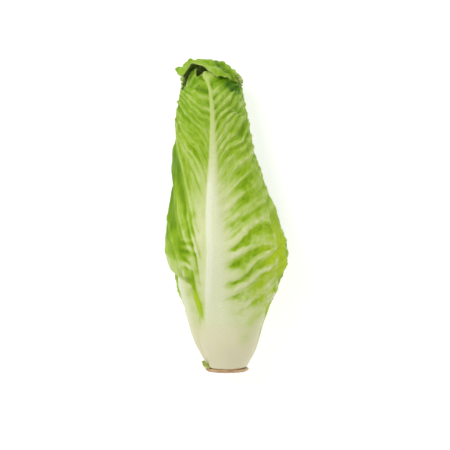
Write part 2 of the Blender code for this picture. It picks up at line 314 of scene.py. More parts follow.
    def lean_and_flatten(self, points: np.ndarray) -> np.ndarray:
        """The upright heart, bent sideways and made flatter, with its axis sagging as it lies."""
        x, height, z = np.moveaxis(points, -1, 0)
        flat = 1.0 - self.flattening * bell(height, self.flat_centre, self.flat_reach)
        half_width = smooth_curve(self.profile[:-1], height)
        sag = self.sag_share * (half_width * flat - self.depth)
        return np.stack([x + smooth_curve(self.lean, height), height, z * flat + sag], axis=-1)

    def lay_down(self, points: np.ndarray) -> np.ndarray:
        """Takes upright points to where they lie in the part's frame, in metres."""
        layer = self.layer_of(points)[..., None]
        pressed = self.centre + (points - self.centre) * self.bottom_layer / np.maximum(layer, 0.01)
        lowest = self.lean_and_flatten(pressed)[..., 2]
        depth = np.clip(1.0 - (self.bottom_layer - layer[..., 0]) / self.press_fade, 0.0, 1.0) ** 2
        laid = self.lean_and_flatten(points)
        lifted = laid[..., 2] + np.maximum(0.0, self.floor - lowest) * depth - self.floor
        laid[..., 2] = np.maximum(lifted, 0.0)
        return (laid + self.shift) * MM


@dataclass
class NetPattern:
    """What a vein net does at each point of a leaf, from 0 to 1.

    vein is 1 on a side vein, fine on the folds between veins, mesh on the net's fine lines, dome in
    the middle of its cells and trough halfway between veins. cell is each cell's own number, and
    streak is noise from -1 to 1 that runs along the veins.
    """

    vein: np.ndarray
    fine: np.ndarray
    streak: np.ndarray
    mesh: np.ndarray
    dome: np.ndarray
    cell: np.ndarray
    trough: np.ndarray


@dataclass(frozen=True)
class VeinNet:
    """The side veins of a leaf. A row is one vein: the height where it leaves the rib, how far it
    has risen 10, 20 and 30 mm from the rib, and its strength."""

    left: tuple[tuple[float, ...], ...]
    right: tuple[tuple[float, ...], ...]
    seed: int = 1
    near_width: float = 2.3
    far_width: float = 1.4
    stations: tuple[float, ...] = (0.0, 10.0, 20.0, 30.0, 56.0)
    last_steepening: float = 2.6
    room_below: float = 16.0
    room_above: tuple[float, float] = (12.0, 30.0)
    fold_width: float = 0.7
    cell_length: float = 5.2
    cells_between: float = 2.3

    @classmethod
    def grown(cls, seed: int, first: float = 16.0, last: float = 214.0, spacing: float = 10.5) -> "VeinNet":
        """Veins like those of the front leaf, in places of their own.

        Args:
            seed: Which leaf's pattern.
            first: Height of the lowest vein on the rib.
            last: Height of the highest one.
            spacing: Mean distance between veins on the rib.

        Returns:
            The net.
        """
        sides = []
        for side in (0, 1):
            rows = []
            height = first + 4.0 * side
            number = 0
            while height < last:
                chance = float(Noise.hashed(number, side, seed))
                share = height / HEART_LENGTH
                rise = 5.0 + 12.0 * float(ease(0.1, 0.55, np.array(share))) - 3.0 * share
                rise += 1.2 * (chance - 0.5)
                rows.append((height, rise, rise * 1.75, rise * 2.35, 0.55 + 0.45 * chance))
                height += spacing * (0.75 + 0.5 * float(Noise.hashed(number, side, seed + 5)))
                number += 1
            sides.append(tuple(rows))
        return cls(left=sides[0], right=sides[1], seed=seed)

    def read(self, form: HeartForm, along: np.ndarray, sideways: np.ndarray) -> NetPattern:
        """The pattern at points of the leaf.

        Args:
            form: The heart's form, for the heights.
            along: Length along the leaf's rib.
            sideways: Length sideways of the rib, negative on the left.

        Returns:
            The pattern.
        """
        bend = 2.2 * Noise.smooth(along / 15.0, sideways / 11.0, self.seed)
        bend = bend + 0.8 * Noise.smooth(along / 5.0, sideways / 5.0, self.seed + 3)
        left, right = (
            self.one_side(form, rows, along + bend, np.abs(sideways), number)
            for number, rows in enumerate((self.left, self.right))
        )
        return NetPattern(**{name: np.where(sideways < 0.0, left[name], right[name]) for name in left})

    def lines(self, form: HeartForm, table: np.ndarray, away: np.ndarray) -> np.ndarray:
        """Length along the leaf of each vein in a table, at points away from the rib.

        One more line runs below the lowest vein, and two above the highest.
        """
        start = form.along_at(table[:, 0])
        start = np.concatenate([[start[0] - self.room_below], start, start[-1] + np.array(self.room_above)])
        rises = np.vstack([table[0, 1:4], table[:, 1:4], table[-1, 1:4], table[-1, 1:4]])
        last = rises[:, 2] + self.last_steepening * (rises[:, 2] - rises[:, 1])
        rises = np.column_stack([np.zeros(len(rises)), rises, last])
        return np.stack([
            at_rib + smooth_curve(np.column_stack([self.stations, rise]), away)
            for at_rib, rise in zip(start, rises)
        ])

    def one_side(
        self, form: HeartForm, rows: tuple, along: np.ndarray, away: np.ndarray, number: int,
    ) -> dict[str, np.ndarray]:
        """The pattern that one side's veins make, by name.

        Args:
            form: The heart's form.
            rows: The side's veins.
            along: Length along the leaf.
            away: Distance from the rib.
            number: 0 for the left side and 1 for the right.

        Returns:
            The arrays of a NetPattern.
        """
        table = np.array(rows)
        lines = self.lines(form, table, away)
        strength = np.concatenate([[0.0], table[:, 4], [0.5, 0.0]])
        below = np.clip((lines <= along).sum(axis=0) - 1, 0, len(lines) - 2)
        low = np.take_along_axis(lines, below[None], 0)[0]
        high = np.take_along_axis(lines, below[None] + 1, 0)[0]
        slope = np.take_along_axis(self.lines(form, table, away + 1.0), below[None], 0)[0] - low
        gap = np.maximum(high - low, 1.0)
        share = np.clip((along - low) / gap, 0.0, 1.0)
        square = gap / np.sqrt(1.0 + slope**2)
        width = self.far_width + (self.near_width - self.far_width) * np.exp(-away / 16.0)
        width = width * (1.0 + 0.45 * (1.0 - ease(90.0, 140.0, along)))
        near = strength[below] * np.exp(-((share * square / width) ** 2))
        far = strength[below + 1] * np.exp(-(((1.0 - share) * square / width) ** 2))
        third = np.abs(np.mod(share * 3.0 + 0.5, 1.0) - 0.5) * square / 3.0
        inside = np.minimum(share, 1.0 - share)
        step = below + share
        cell_seed = self.seed + 11 * number
        border, cell = Noise.cells(step * self.cells_between, away / self.cell_length, cell_seed)
        fading = 0.72 + 0.38 * Noise.smooth(along / 9.0, away / 7.0 + 20.0 * number, self.seed + 5)
        streak = Noise.smooth(step * 4.0, away / 13.0, self.seed + 13 + number)
        streak = streak + 0.6 * Noise.smooth(step * 8.5, away / 8.0, self.seed + 17 + number)
        return {
            "vein": np.maximum(near, far) * fading,
            "fine": np.exp(-((third / self.fold_width) ** 2)) * ease(0.1, 0.25, inside) * fading,
            "streak": streak * np.clip(square / 6.0, 0.4, 1.0),
            "mesh": 1.0 - ease(0.0, 0.3, border),
            "dome": ease(0.05, 0.7, border),
            "cell": cell,
            "trough": np.sin(math.pi * share) ** 2 * np.clip(square / 9.0, 0.3, 1.2) * fading,
        }


@dataclass
class LeafPattern(NetPattern):
    """What the relief and the colours of a leaf are made from, at each of its points.

    share, side, along and sideways say where the point is on the leaf, from_rib and from_ridge how
    far it is from the rib's middle and from its ridge, height how high its length along the leaf
    reaches, and up how high it is itself. blotch is soft noise. white is 1 in the white zone, foot
    in the pale foot, core on the rib, brim on the rim line and past_brim beyond it. rung waves from
    -1 to 1 in the ladder of cells.
    """

    share: np.ndarray
    side: np.ndarray
    along: np.ndarray
    sideways: np.ndarray
    from_rib: np.ndarray
    height: np.ndarray
    up: np.ndarray
    blotch: np.ndarray
    from_ridge: np.ndarray = field(init=False)
    white: np.ndarray = field(init=False)
    foot: np.ndarray = field(init=False)
    core: np.ndarray = field(init=False)
    rung: np.ndarray = field(init=False)
    brim: np.ndarray = field(init=False)
    past_brim: np.ndarray = field(init=False)

    @property
    def size(self) -> np.ndarray:
        """Share of the half width, on either side."""
        return np.abs(self.side)

    @property
    def on_left(self) -> np.ndarray:
        """Whether the point is left of the rib."""
        return self.from_rib < 0.0

    @property
    def on_right(self) -> np.ndarray:
        """Whether the point is right of the rib."""
        return self.from_rib > 0.0

    @property
    def blade(self) -> np.ndarray:
        """1 on the blade, and less on the rib and in the white zone."""
        return 1.0 - np.maximum(self.core, 0.8 * self.white)


@dataclass(frozen=True)
class Ladder:
    """A column of small cells beside the rib, one above another like a ladder's rungs."""

    place: float = -21.5
    half_width: float = 6.5
    start: Span = (67.0, 72.0)
    end: Span = (92.0, 100.0)
    spacing: float = 7.4
    slope: float = 0.2

    def rungs(self, found: LeafPattern) -> np.ndarray:
        """The cells' waves, from -1 to 1, and 0 elsewhere."""
        beside = bell(found.from_rib, self.place, self.half_width, power=4)
        climb = found.height + self.slope * found.from_rib + found.blotch
        reach = beside * band(self.start, self.end, found.height)
        return reach * np.sin(2.0 * math.pi * climb / self.spacing)


@dataclass(frozen=True)
class Brim:
    """A raised line near a leaf's right margin, with a greener strip of blade beyond it."""

    place: float = 38.0
    wander: float = 1.6
    half_width: float = 0.8
    start: Span = (50.0, 64.0)
    end: Span = (112.0, 124.0)

    def read(self, found: LeafPattern, seed: int) -> tuple[np.ndarray, np.ndarray]:
        """Where the line and the strip are.

        Args:
            found: The leaf's pattern.
            seed: Which noise the line wanders by.

        Returns:
            Arrays that are 1 on the line, and 1 beyond it.
        """
        wandering = self.wander * Noise.smooth(found.along / 9.0, found.along / 30.0, seed)
        past = found.sideways - self.place - wandering
        reach = band(self.start, self.end, found.height)
        return bell(past, 0.0, self.half_width) * reach, ease(-0.6, 0.8, past) * reach


@dataclass(frozen=True)
class Push:
    """A local change of a leaf: where it is, how far it spreads, and what it does to the leaf there.

    along and sideways are lengths on the leaf, and layer is a change of layer.
    """

    at_along: float
    at_sideways: float
    spread_along: float
    spread_sideways: float
    along: float = 0.0
    sideways: float = 0.0
    layer: float = 0.0

    def weight(self, along: np.ndarray, sideways: np.ndarray) -> np.ndarray:
        """1 at the push's middle, falling off over its spread."""
        return np.exp(
            -(((along - self.at_along) / self.spread_along) ** 2)
            - (((sideways - self.at_sideways) / self.spread_sideways) ** 2)
        )


INNER_WIDTH = (
    (0.0, 12.5), (0.12, 17.5), (0.26, 28.0), (0.42, 43.5),
    (0.6, 56.0), (0.78, 58.0), (0.92, 48.5), (1.0, 38.5),
)
FLAT = ((0.0, 0.0), (1.0, 0.0))
WHITE_ZONE = (
    (0.0, 16.0), (42.0, 14.0), (60.0, 12.0), (86.0, 10.0), (120.0, 6.5),
    (150.0, 4.0), (180.0, 2.4), (215.0, 1.0),
)
RIDGE_PLACE = ((0.0, 5.0), (50.0, 5.2), (86.0, 4.0), (120.0, 3.0), (160.0, 1.0))


@dataclass(frozen=True)
class Relief:
    """How high the surface detail of a leaf stands, in millimetres."""

    vein: float = 0.6
    fine: float = 0.16
    mesh: float = 0.12
    streak: float = 0.32
    rib: float = 1.0
    brim: float = 0.5
    rung: float = 0.3
    swell: float = 0.7
    pucker: float = 0.7
    trough: float = 1.3


@dataclass
class Leaf:
    """One leaf. Curves are (share of its length, value) pairs, and by height where this says so.

    angle is the rib's, in degrees from the front towards +X, and turn is added to it along the leaf.
    left and right are half widths. layer and base_layer are 1 on the outer form and less inside it.
    tip_line is how much shorter the blade is than at its rib, by side. rib_drift moves the rib
    sideways, and pushes change single places. puckering scales the puckers and troughs, fold_right
    deepens the right side's troughs, by height, ridge is how high the rib's sharp ridge stands,
    ragged how far the margins are torn, and crumple how wrinkled the tip is.

    core is the rib's half width, white_left and white_right the white zone's, and white_strength how
    white that is, all by height. left_softness blurs the zone's left border. The leaf is pale up to
    foot, and foot_rise higher on its right. mottle, green, warmth and freshness shift its tones,
    corner paints shade on its top right, where the back leaf's folded tip overhangs it, and
    inside_pale paints light on its inner face, paler and in fresher greens, so that the hollows
    between the leaves are less dark.
    """

    form: HeartForm
    name: str
    angle: float
    layer: float
    base_layer: float
    length: float
    left: Curve
    right: Curve
    veins: VeinNet
    slot: Slot = Slot.INNER
    tip_line: Curve = ((-1.0, 26.0), (-0.6, 12.0), (0.0, 0.0), (0.6, 12.0), (1.0, 26.0))
    tip_layer: float = 0.0
    rib_thickness: float = 5.4
    rib_half_width: float = 13.0
    rib_rise: float = 0.0
    rib_drift: Curve = FLAT
    turn: Curve = FLAT
    margin_tuck: float = 0.012
    ruffle: float = 0.0
    wave: float = 0.8
    wave_count: float = 5.0
    grid: tuple[int, int] = (64, 110)
    blade_thickness: float = 0.9
    rim_thickness: float = 0.65
    probe: float = 0.4
    root_edge: float = 0.7
    root_slope: float = 0.3
    root_skirt: float = 3.0
    root_spread: float = 0.0
    root_sink: float = 0.035
    layer_change: tuple[float, float] = (0.03, 0.3)
    pushes: tuple[Push, ...] = ()
    puckering: float = 1.0
    ragged: float = 1.0
    relief: Relief = Relief()
    white_left: Curve = WHITE_ZONE
    white_right: Curve = WHITE_ZONE
    white_strength: Curve = (
        (0.0, 1.0), (92.0, 1.0), (106.0, 0.97), (122.0, 0.76), (140.0, 0.38), (158.0, 0.0),
    )
    left_softness: float = 0.5
    foot: float = 40.0
    foot_rise: float = 3.0
    fold_right: Curve = ((0.0, 1.0), (HEART_LENGTH, 1.0))
    brim: Brim | None = None
    ladder: Ladder | None = None
    crumple: float = 0.0
    corner: float = 0.0
    core: Curve = (
        (0.0, 13.0), (23.0, 11.5), (51.0, 7.3), (86.0, 6.2), (120.0, 4.2), (148.0, 2.8),
        (169.0, 2.0), (190.0, 1.5), (207.0, 1.0), (220.0, 0.7),
    )
    mottle: float = 0.6
    ridge: float = 0.0
    warmth: float = 0.0
    freshness: float = 0.0
    green: float = 0.0
    inside_pale: float = 0.2

    def half_width(self, share: np.ndarray, side: np.ndarray) -> np.ndarray:
        """The leaf's half width on each point's own side, on the outer form."""
        return np.where(side < 0.0, smooth_curve(self.left, share), smooth_curve(self.right, share))

    def along_rib(self, share: np.ndarray) -> np.ndarray:
        """Length along the outer form, from the leaf's start above the cut or higher up, to its tip."""
        height = self.form.centre_height
        root = self.form.along_at(height - (height - self.form.leaf_start) / self.base_layer)
        return root + (self.length - root) * share

    def rib_profile(self, share: np.ndarray, side: np.ndarray) -> np.ndarray:
        """The rib's height, from 1 on its ridge at the root to 0 beside it, and less towards the tip."""
        half_width = self.rib_half_width * (1.0 - 0.76 * ease(0.0, 0.85, share))
        across = np.clip(np.abs(side) * self.half_width(share, side) / half_width, 0.0, 1.0)
        return (1.0 - across**2) ** (1.7 + 0.3 * ease(0.0, 0.2, share)) * (1.0 - 0.8 * ease(0.1, 0.9, share))

    def lengths(self, share: np.ndarray, side: np.ndarray) -> tuple[np.ndarray, np.ndarray]:
        """Lengths along and sideways of the leaf's meridian."""
        size = np.abs(side)
        along = self.along_rib(share) - smooth_curve(self.tip_line, side) * ease(0.55, 1.0, share)
        along = along - self.root_skirt * size**2 * (1.0 - ease(0.0, 0.1, share))
        swing = 2 * math.pi * self.wave_count * share + 2.0 * np.sign(side)
        width = self.half_width(share, side) + self.root_spread * (1.0 - ease(0.05, 0.24, share))
        width = width + 0.5 * self.wave * np.sin(swing) * size**3
        seed, end = self.veins.seed, np.sign(side)
        nibble = Noise.smooth(share * self.length / 6.5, 3.0 * end, seed + 40)
        nibble = nibble + 0.6 * Noise.smooth(share * self.length / 2.3, 5.0 * end, seed + 41)
        width = width + self.ragged * nibble * size**6 * ease(0.12, 0.3, share)
        tip = Noise.smooth(side * 7.0, np.zeros_like(side), seed + 43)
        tip = tip + 0.5 * Noise.smooth(side * 19.0, np.zeros_like(side), seed + 44)
        along = along + 1.4 * self.ragged * tip * ease(0.86, 1.0, share) ** 2
        sideways = smooth_curve(self.rib_drift, share) * (1.0 - size**2) + side * width
        return along, sideways

    def surface(self, share: np.ndarray, side: np.ndarray) -> np.ndarray:
        """Upright points on the leaf's layer: share runs from root to tip, side from -1 to 1 across."""
        size = np.abs(side)
        along, sideways = self.lengths(share, side)
        layer = self.base_layer + (self.layer - self.base_layer) * ease(*self.layer_change, share)
        layer = layer + self.tip_layer * ease(0.72, 0.95, share) - self.margin_tuck * size**3
        layer = layer - self.root_sink * size**4 * (1.0 - ease(0.14, 0.24, share))
        frill = Noise.smooth(share * self.length / 13.0, 9.0 * np.sign(side), self.veins.seed + 46)
        layer = layer + 1.3 * self.ruffle * (0.5 + 0.5 * frill) * size**4 * ease(0.2, 0.4, share)
        here_along, here_sideways = along, sideways
        for push in self.pushes:
            weight = push.weight(here_along, here_sideways)
            along = along + push.along * weight
            sideways = sideways + push.sideways * weight
            layer = layer + push.layer * weight
        angle = np.radians(self.angle + smooth_curve(self.turn, share))
        point = self.form.point(angle, along, sideways)
        scaled = self.form.centre + (point - self.form.centre) * layer[..., None]
        return self.form.stretch(scaled, layer)

    def thickness(self, share: np.ndarray, side: np.ndarray) -> np.ndarray:
        """The leaf's thickness: a fleshy rib that thins upwards, and a thin blade."""
        blade = self.blade_thickness + (self.rim_thickness - self.blade_thickness) * np.abs(side) ** 3
        room = self.root_edge + self.root_slope * self.along_rib(share) * self.base_layer
        return np.minimum(blade + self.rib_thickness * self.rib_profile(share, side), room)

    def pattern(self, share: np.ndarray, side: np.ndarray, here: np.ndarray) -> LeafPattern:
        """What the relief and the colours of the leaf are made from.

        Args:
            share: Share of the leaf's length at each point.
            side: Share of its half width, negative on the left.
            here: Each point's upright place.

        Returns:
            The pattern.
        """
        along, sideways = self.lengths(share, side)
        from_rib = sideways - smooth_curve(self.rib_drift, share)
        net = self.veins.read(self.form, along, from_rib)
        # Past the top, where the leaf runs down again, the heights that the tables read go on rising.
        past_top = np.maximum(along - self.form.along[self.form.top], 0.0)
        height = np.interp(along, self.form.along, self.form.height) + 2.0 * past_top
        seed = self.veins.seed
        blotch = Noise.rough(along, from_rib, (6.0, 5.0), (2.6, 2.6), 0.5, (seed + 8, seed + 9))
        found = LeafPattern(
            **vars(net), share=share, side=side, along=along, sideways=sideways, from_rib=from_rib,
            height=height, up=here[..., 1], blotch=blotch,
        )
        self.add_white(found)
        self.add_rib(found)
        nothing = np.zeros_like(side)
        found.rung = self.ladder.rungs(found) if self.ladder else nothing
        found.brim, found.past_brim = self.brim.read(found, seed + 71) if self.brim else (nothing, nothing)
        return found

    def add_white(self, found: LeafPattern) -> None:
        """Sets the white zone along the rib, which fades out in streaks, and the pale foot below it."""
        height = found.height
        reach = np.where(
            found.on_left, smooth_curve(self.white_left, height), smooth_curve(self.white_right, height),
        )
        fringe = 0.45 * found.vein + 0.25 * found.streak + 0.10 * found.blotch
        edge = reach * (1.0 + fringe) + 1.2 * found.blotch
        left_softness = self.left_softness + 0.25 * ease(100.0, 125.0, height)
        softness = 2.5 + np.where(found.on_left, left_softness, 0.5) * reach
        zone = 1.0 - ease(-1.0, 1.0, (np.abs(found.from_rib) - edge) / softness)
        zone = zone * smooth_curve(self.white_strength, height)
        start = np.where(found.on_left, self.foot, self.foot + self.foot_rise)
        found.foot = 1.0 - ease(-9.0, 9.0, found.up - start - 4.0 * found.blotch - 5.0 * found.vein)
        found.white = 1.0 - (1.0 - zone) * (1.0 - found.foot)

    def add_rib(self, found: LeafPattern) -> None:
        """Sets the rib, whose left border is crisp and whose right one is soft."""
        from_edge = np.abs(found.from_rib) / smooth_curve(self.core, found.height)
        crisp, soft = ease(0.6, 1.35, from_edge), ease(0.4, 1.8, from_edge)
        found.core = 1.0 - np.where(found.on_left, crisp, soft)
        found.core = found.core * (1.0 - 0.8 * ease(212.0, 224.0, found.height))
        found.from_ridge = found.from_rib + smooth_curve(RIDGE_PLACE, found.height)

    def rise(self, found: LeafPattern) -> np.ndarray:
        """How far ribs, veins and lines stand off the outer face."""
        relief, share = self.relief, found.share
        veins = relief.vein * found.vein * (1.0 - found.core) + relief.fine * found.fine * found.blade
        veins = veins + relief.mesh * found.mesh * found.blade + relief.streak * found.streak * found.blade
        flesh = self.rib_rise * self.rib_profile(share, found.side) * ease(0.0, 0.1, share)
        crest = relief.rib * found.core**1.5 * band((0.28, 0.5), (0.9, 1.0), share)
        ridge = ease(-1.6, 0.4, found.from_ridge) * (1.0 - ease(0.0, 14.0, found.from_ridge))
        ridge = self.ridge * ridge * band((30.0, 60.0), (115.0, 150.0), found.height)
        lines = relief.brim * found.brim + relief.rung * found.rung
        return flesh + crest + veins * ease(0.1, 0.3, share) + ridge + lines

    def swell(self, found: LeafPattern) -> np.ndarray:
        """How far puckers, troughs and wrinkles move both faces."""
        relief, seed = self.relief, self.veins.seed
        wave = relief.swell * Noise.smooth(found.along / 17.0, found.sideways / 13.0, seed + 20)
        pucker = relief.pucker * (found.dome - 0.5) * (0.5 + found.cell)
        trough = relief.trough * found.trough * (1.0 - 0.6 * ease(24.0, 42.0, np.abs(found.from_rib)))
        trough = trough * np.where(found.on_right, smooth_curve(self.fold_right, found.height), 1.0)
        both = (wave + pucker - trough) * found.blade * ease(0.1, 0.3, found.share) * self.puckering
        seeds = (seed + 70, seed + 72)
        wrinkle = Noise.rough(found.along, found.sideways, (6.0, 8.0), (2.8, 4.0), 0.5, seeds)
        inland = 1.0 - 0.7 * ease(0.7, 1.0, found.size)
        return both + self.crumple * wrinkle * ease(198.0, 210.0, found.height) * inland

    def build(self, finish: bpy.types.Material) -> bpy.types.Object:
        """Makes the leaf: a grid, thickened by extrusion, then moved to its two faces.

        Args:
            finish: The leaf's material.

        Returns:
            The finished piece.
        """
        bm, across, up, inner = double_grid(*self.grid)
        side = across * (0.7 + 0.3 * across**2)
        share = (up + 1.0) / 2.0
        found = self.pattern(share, side, self.surface(share, side))
        move_points(bm, self.points(found, inner))
        uv = np.stack([found.sideways, found.along], axis=-1) / UV_LENGTH
        return add_piece(self.name, bm, finish, LeafColours(self, found).attributes(inner), uv)

    def points(self, found: LeafPattern, inner: np.ndarray) -> np.ndarray:
        """Laid points of the leaf's outer face, or of its inner face where inner is true."""
        share, side = found.share, found.side
        here = self.surface(share, side)
        step = self.probe / self.length
        along = self.surface(share + step, side) - self.surface(share - step, side)
        across = self.surface(share, side + step) - self.surface(share, side - step)
        outward = np.cross(across, along)
        outward /= np.linalg.norm(outward, axis=-1, keepdims=True)
        height = self.swell(found) + np.where(inner, -self.thickness(share, side), self.rise(found))
        points = here + outward * height[..., None]
        points[..., 1] = np.maximum(points[..., 1], self.form.leaf_start)
        return self.form.lay_down(points)


@dataclass
class LeafColours:
    """The attributes that a leaf's finish reads, worked out from its pattern.

    The numbers are tones: how pale a part of the leaf is, from 0 for the deepest green to 1 for
    white, or how much a feature of its name adds to that or takes off it.
    """

    leaf: Leaf
    found: LeafPattern
    blade: float = 0.25
    vein: float = 0.26
    fold: float = 0.08
    trough: float = 0.17
    streak: float = 0.11
    mesh: float = 0.06
    dome: float = 0.12
    rung: float = 0.24
    white_zone: float = 0.79
    rib: float = 0.91
    # A painted highlight along the rib's ridge.
    ridge: float = 0.14
    rib_fading: float = 0.34
    rim: float = 0.16
    crease_shade: float = 0.24
    corner_shade: float = 0.2
    wash_shade: float = 0.22
    beyond_brim: float = 0.18
    patchiness: float = 0.09
    grain: float = 0.06
    low_vein: float = 0.13
    right_fold_shade: float = 0.1
    left_fold_shade: float = 0.09
    upper_light: float = 0.06
    foot_light: float = 0.2
    right_side_light: float = 0.03
    left_shade: float = 0.05
    left_painted_relief: float = 0.06
    outer_shade: float = 0.14

    def __post_init__(self) -> None:
        """Works out the noise and the regions that several attributes share."""
        found, mottle, seed = self.found, self.leaf.mottle, self.leaf.veins.seed
        self.patch = Noise.smooth(found.along / 15.0, found.from_rib / 11.0, seed + 60)
        self.fine = Noise.smooth(found.along / 5.0, found.from_rib / 5.0, seed + 61)
        self.left = mottle * found.on_left
        self.lobe = ease(52.0, 60.0, found.height) * self.left
        # Painted shade on the top right of the blade, under the back leaf's folded tip.
        self.corner = self.leaf.corner * ease(190.0, 204.0, found.height) * ease(5.0, 15.0, found.from_rib)
        wash = bell(found.from_rib, 0.71 * found.up, 5.5) * band((13.0, 22.0), (38.0, 50.0), found.up)
        self.wash = wash * mottle * (0.55 + 0.45 * self.fine)

    def blade_tone(self) -> np.ndarray:
        """How pale the blade is, with its veins, folds and cells."""
        found, leaf, height = self.found, self.leaf, self.found.height
        # low is the lower blade, high its upper right, outer the middle of its margins and end its foot.
        low = (1.0 - ease(100.0, 150.0, height)) * leaf.mottle * (0.2 + 0.8 * found.on_right)
        high = ease(150.0, 170.0, height) * found.on_right
        outer = ease(0.5, 0.9, found.size) * band((95.0, 108.0), (150.0, 175.0), height)
        end = (1.0 - ease(48.0, 72.0, height)) * ease(2.0, 10.0, found.from_rib) * leaf.mottle
        tone = self.blade - leaf.green + self.patchiness * self.patch + self.grain * self.fine
        tone = tone + (self.vein - self.low_vein * low) * found.vein
        tone = tone + self.fold * (1.0 - 0.6 * low) * found.fine
        tone = tone + self.mesh * found.mesh - self.dome * found.dome * found.cell
        # Darker in the troughs between the veins: partly the blade's deeper green there, partly painted
        # shade; more painted shade in the folds of the upper right and the upper left.
        deeper = self.right_fold_shade * high + self.left_fold_shade * self.left * ease(110.0, 130.0, height)
        tone = tone + self.streak * found.streak - (self.trough + deeper) * found.trough
        tone = tone + 0.01 * high + self.upper_light * ease(100.0, 130.0, height) + self.foot_light * end
        # Painted light on the right side of the rib, which lies away from the key lamp.
        tone = tone + self.right_side_light * (leaf.mottle - self.left)
        tone = tone - self.left * self.left_shade * ease(88.0, 104.0, height)
        # Painted light on the left side's veins and painted shade in its troughs.
        contrast = self.left_painted_relief * (found.vein - found.trough)
        tone = tone + self.left * (contrast - self.outer_shade * outer)
        return tone + low * self.spots() + self.rung * found.rung

    def spots(self) -> np.ndarray:
        """Dark spots in some of the troughs and a fine grit, for the low part of the blade."""
        found, seed = self.found, self.leaf.veins.seed
        depth = found.trough * (0.1 + 1.25 * found.cell) + 0.24 * self.fine + 0.2 * self.patch
        grit = Noise.rough(found.along, found.from_rib, (2.3, 3.0), (1.2, 1.5), 0.6, (seed + 63, seed + 64))
        return 0.22 - 0.24 * ease(0.45, 0.8, depth) + 0.07 * grit

    def rib_tone(self) -> np.ndarray:
        """How pale the rib is: less towards the tip, and more on its ridge, where a highlight is painted."""
        found = self.found
        # Painted highlight: a bright line just beside the ridge.
        ridge = bell(found.from_ridge, 1.6, 1.7) * band((40.0, 70.0), (120.0, 150.0), found.height)
        return (self.rib + self.ridge * ridge) * (1.0 - self.rib_fading * ease(112.0, 205.0, found.height))

    def pale(self) -> np.ndarray:
        """How pale the leaf is: its blade, with the white zone, the rib and the margins laid over it."""
        found, leaf = self.found, self.leaf
        tone = self.blade_tone()
        tone = tone + (self.white_zone + 0.05 * self.patch + 0.04 * self.fine - tone) * found.white
        # Painted shade: darker in the creases that the dipping pushes make, and on the top right under the
        # back leaf's folded tip.
        creases = [push for push in leaf.pushes if push.layer < 0.0]
        folded = sum(push.weight(found.along, found.sideways) for push in creases)
        tone = tone - self.corner_shade * self.corner - self.crease_shade * folded
        tone = tone + (self.rib_tone() - tone) * found.core
        beyond = self.beyond_brim + 0.1 * self.patch + 0.1 * self.fine
        tone = tone + (beyond - tone) * 0.85 * found.past_brim + 0.18 * found.brim
        rim = ease(0.965, 1.0, np.maximum(found.size, ease(0.97, 1.0, found.share)))
        tone = tone + self.rim * rim * ease(0.2, 0.3, found.share)
        lobe_tip = self.lobe * ease(15.0, 24.0, -found.from_rib) * (1.0 - ease(72.0, 84.0, found.height))
        return tone + 0.36 * lobe_tip - self.wash_shade * self.wash

    def attributes(self, inner: np.ndarray) -> dict[str, np.ndarray]:
        """The attributes of both faces.

        Args:
            inner: Whether each point is on the leaf's inner face.

        Returns:
            pale, warm, fresh, cream and cut, from 0 to 1.
        """
        found, leaf, height = self.found, self.leaf, self.found.height
        margin = ease(0.45, 0.8, found.size) * band((30.0, 42.0), (70.0, 120.0), height)
        fresh = leaf.freshness + 0.8 * ease(150.0, 225.0, height) + 0.2 * self.patch + 0.35 * self.corner
        streaks = np.clip(found.streak, 0.0, 1.0) * ease(12.0, 16.0, found.from_rib)
        streaks = streaks * ease(12.0, 24.0, found.up)
        cream = found.foot * (1.0 - ease(14.0, 52.0, found.up)) * (1.0 - 0.6 * self.wash)
        jag = Noise.smooth(found.sideways / 3.0, found.along / 6.0, leaf.veins.seed + 62)
        warm = leaf.warmth + margin * (1.0 - 0.8 * self.lobe) + 0.2 * self.patch
        values = {
            # Inner faces get painted light: paler, and in the fresh greens, so that the hollows between the
            # leaves are not so dark.
            "pale": np.clip(self.pale(), 0.0, 1.0) + leaf.inside_pale * inner,
            "warm": warm + 0.35 * found.past_brim,
            "fresh": np.maximum(fresh, inner),
            "cream": cream - 0.45 * streaks,
            "cut": 1.0 - ease(2.9, 3.7, found.up + 0.5 * jag),
        }
        return {name: np.clip(value, 0.0, 1.0) for name, value in values.items()}


def double_grid(columns: int, rows: int) -> tuple[bmesh.types.BMesh, np.ndarray, np.ndarray, np.ndarray]:
    """A flat closed sheet: a grid, and a copy of it that is joined to its border.

    Args:
        columns: The grid's faces across.
        rows: The grid's faces from bottom to top.

    Returns:
        The bmesh, its points' places across and up from -1 to 1, and whether each is in the copy.
    """
    bm = bmesh.new()
    bmesh.ops.create_grid(bm, x_segments=columns, y_segments=rows, size=1.0)
    raised = bmesh.ops.extrude_face_region(bm, geom=bm.faces[:], use_keep_orig=True)["geom"]
    raised = {v for v in raised if isinstance(v, bmesh.types.BMVert)}
    across, up = np.array([v.co[:2] for v in bm.verts]).T
    return bm, across, up, np.array([v in raised for v in bm.verts])


def move_points(bm: bmesh.types.BMesh, points: np.ndarray) -> None:
    """Moves a bmesh's points to their places, and turns its faces outwards."""
    for vert, point in zip(bm.verts, points):
        vert.co = point
    bmesh.ops.recalc_face_normals(bm, faces=bm.faces[:])


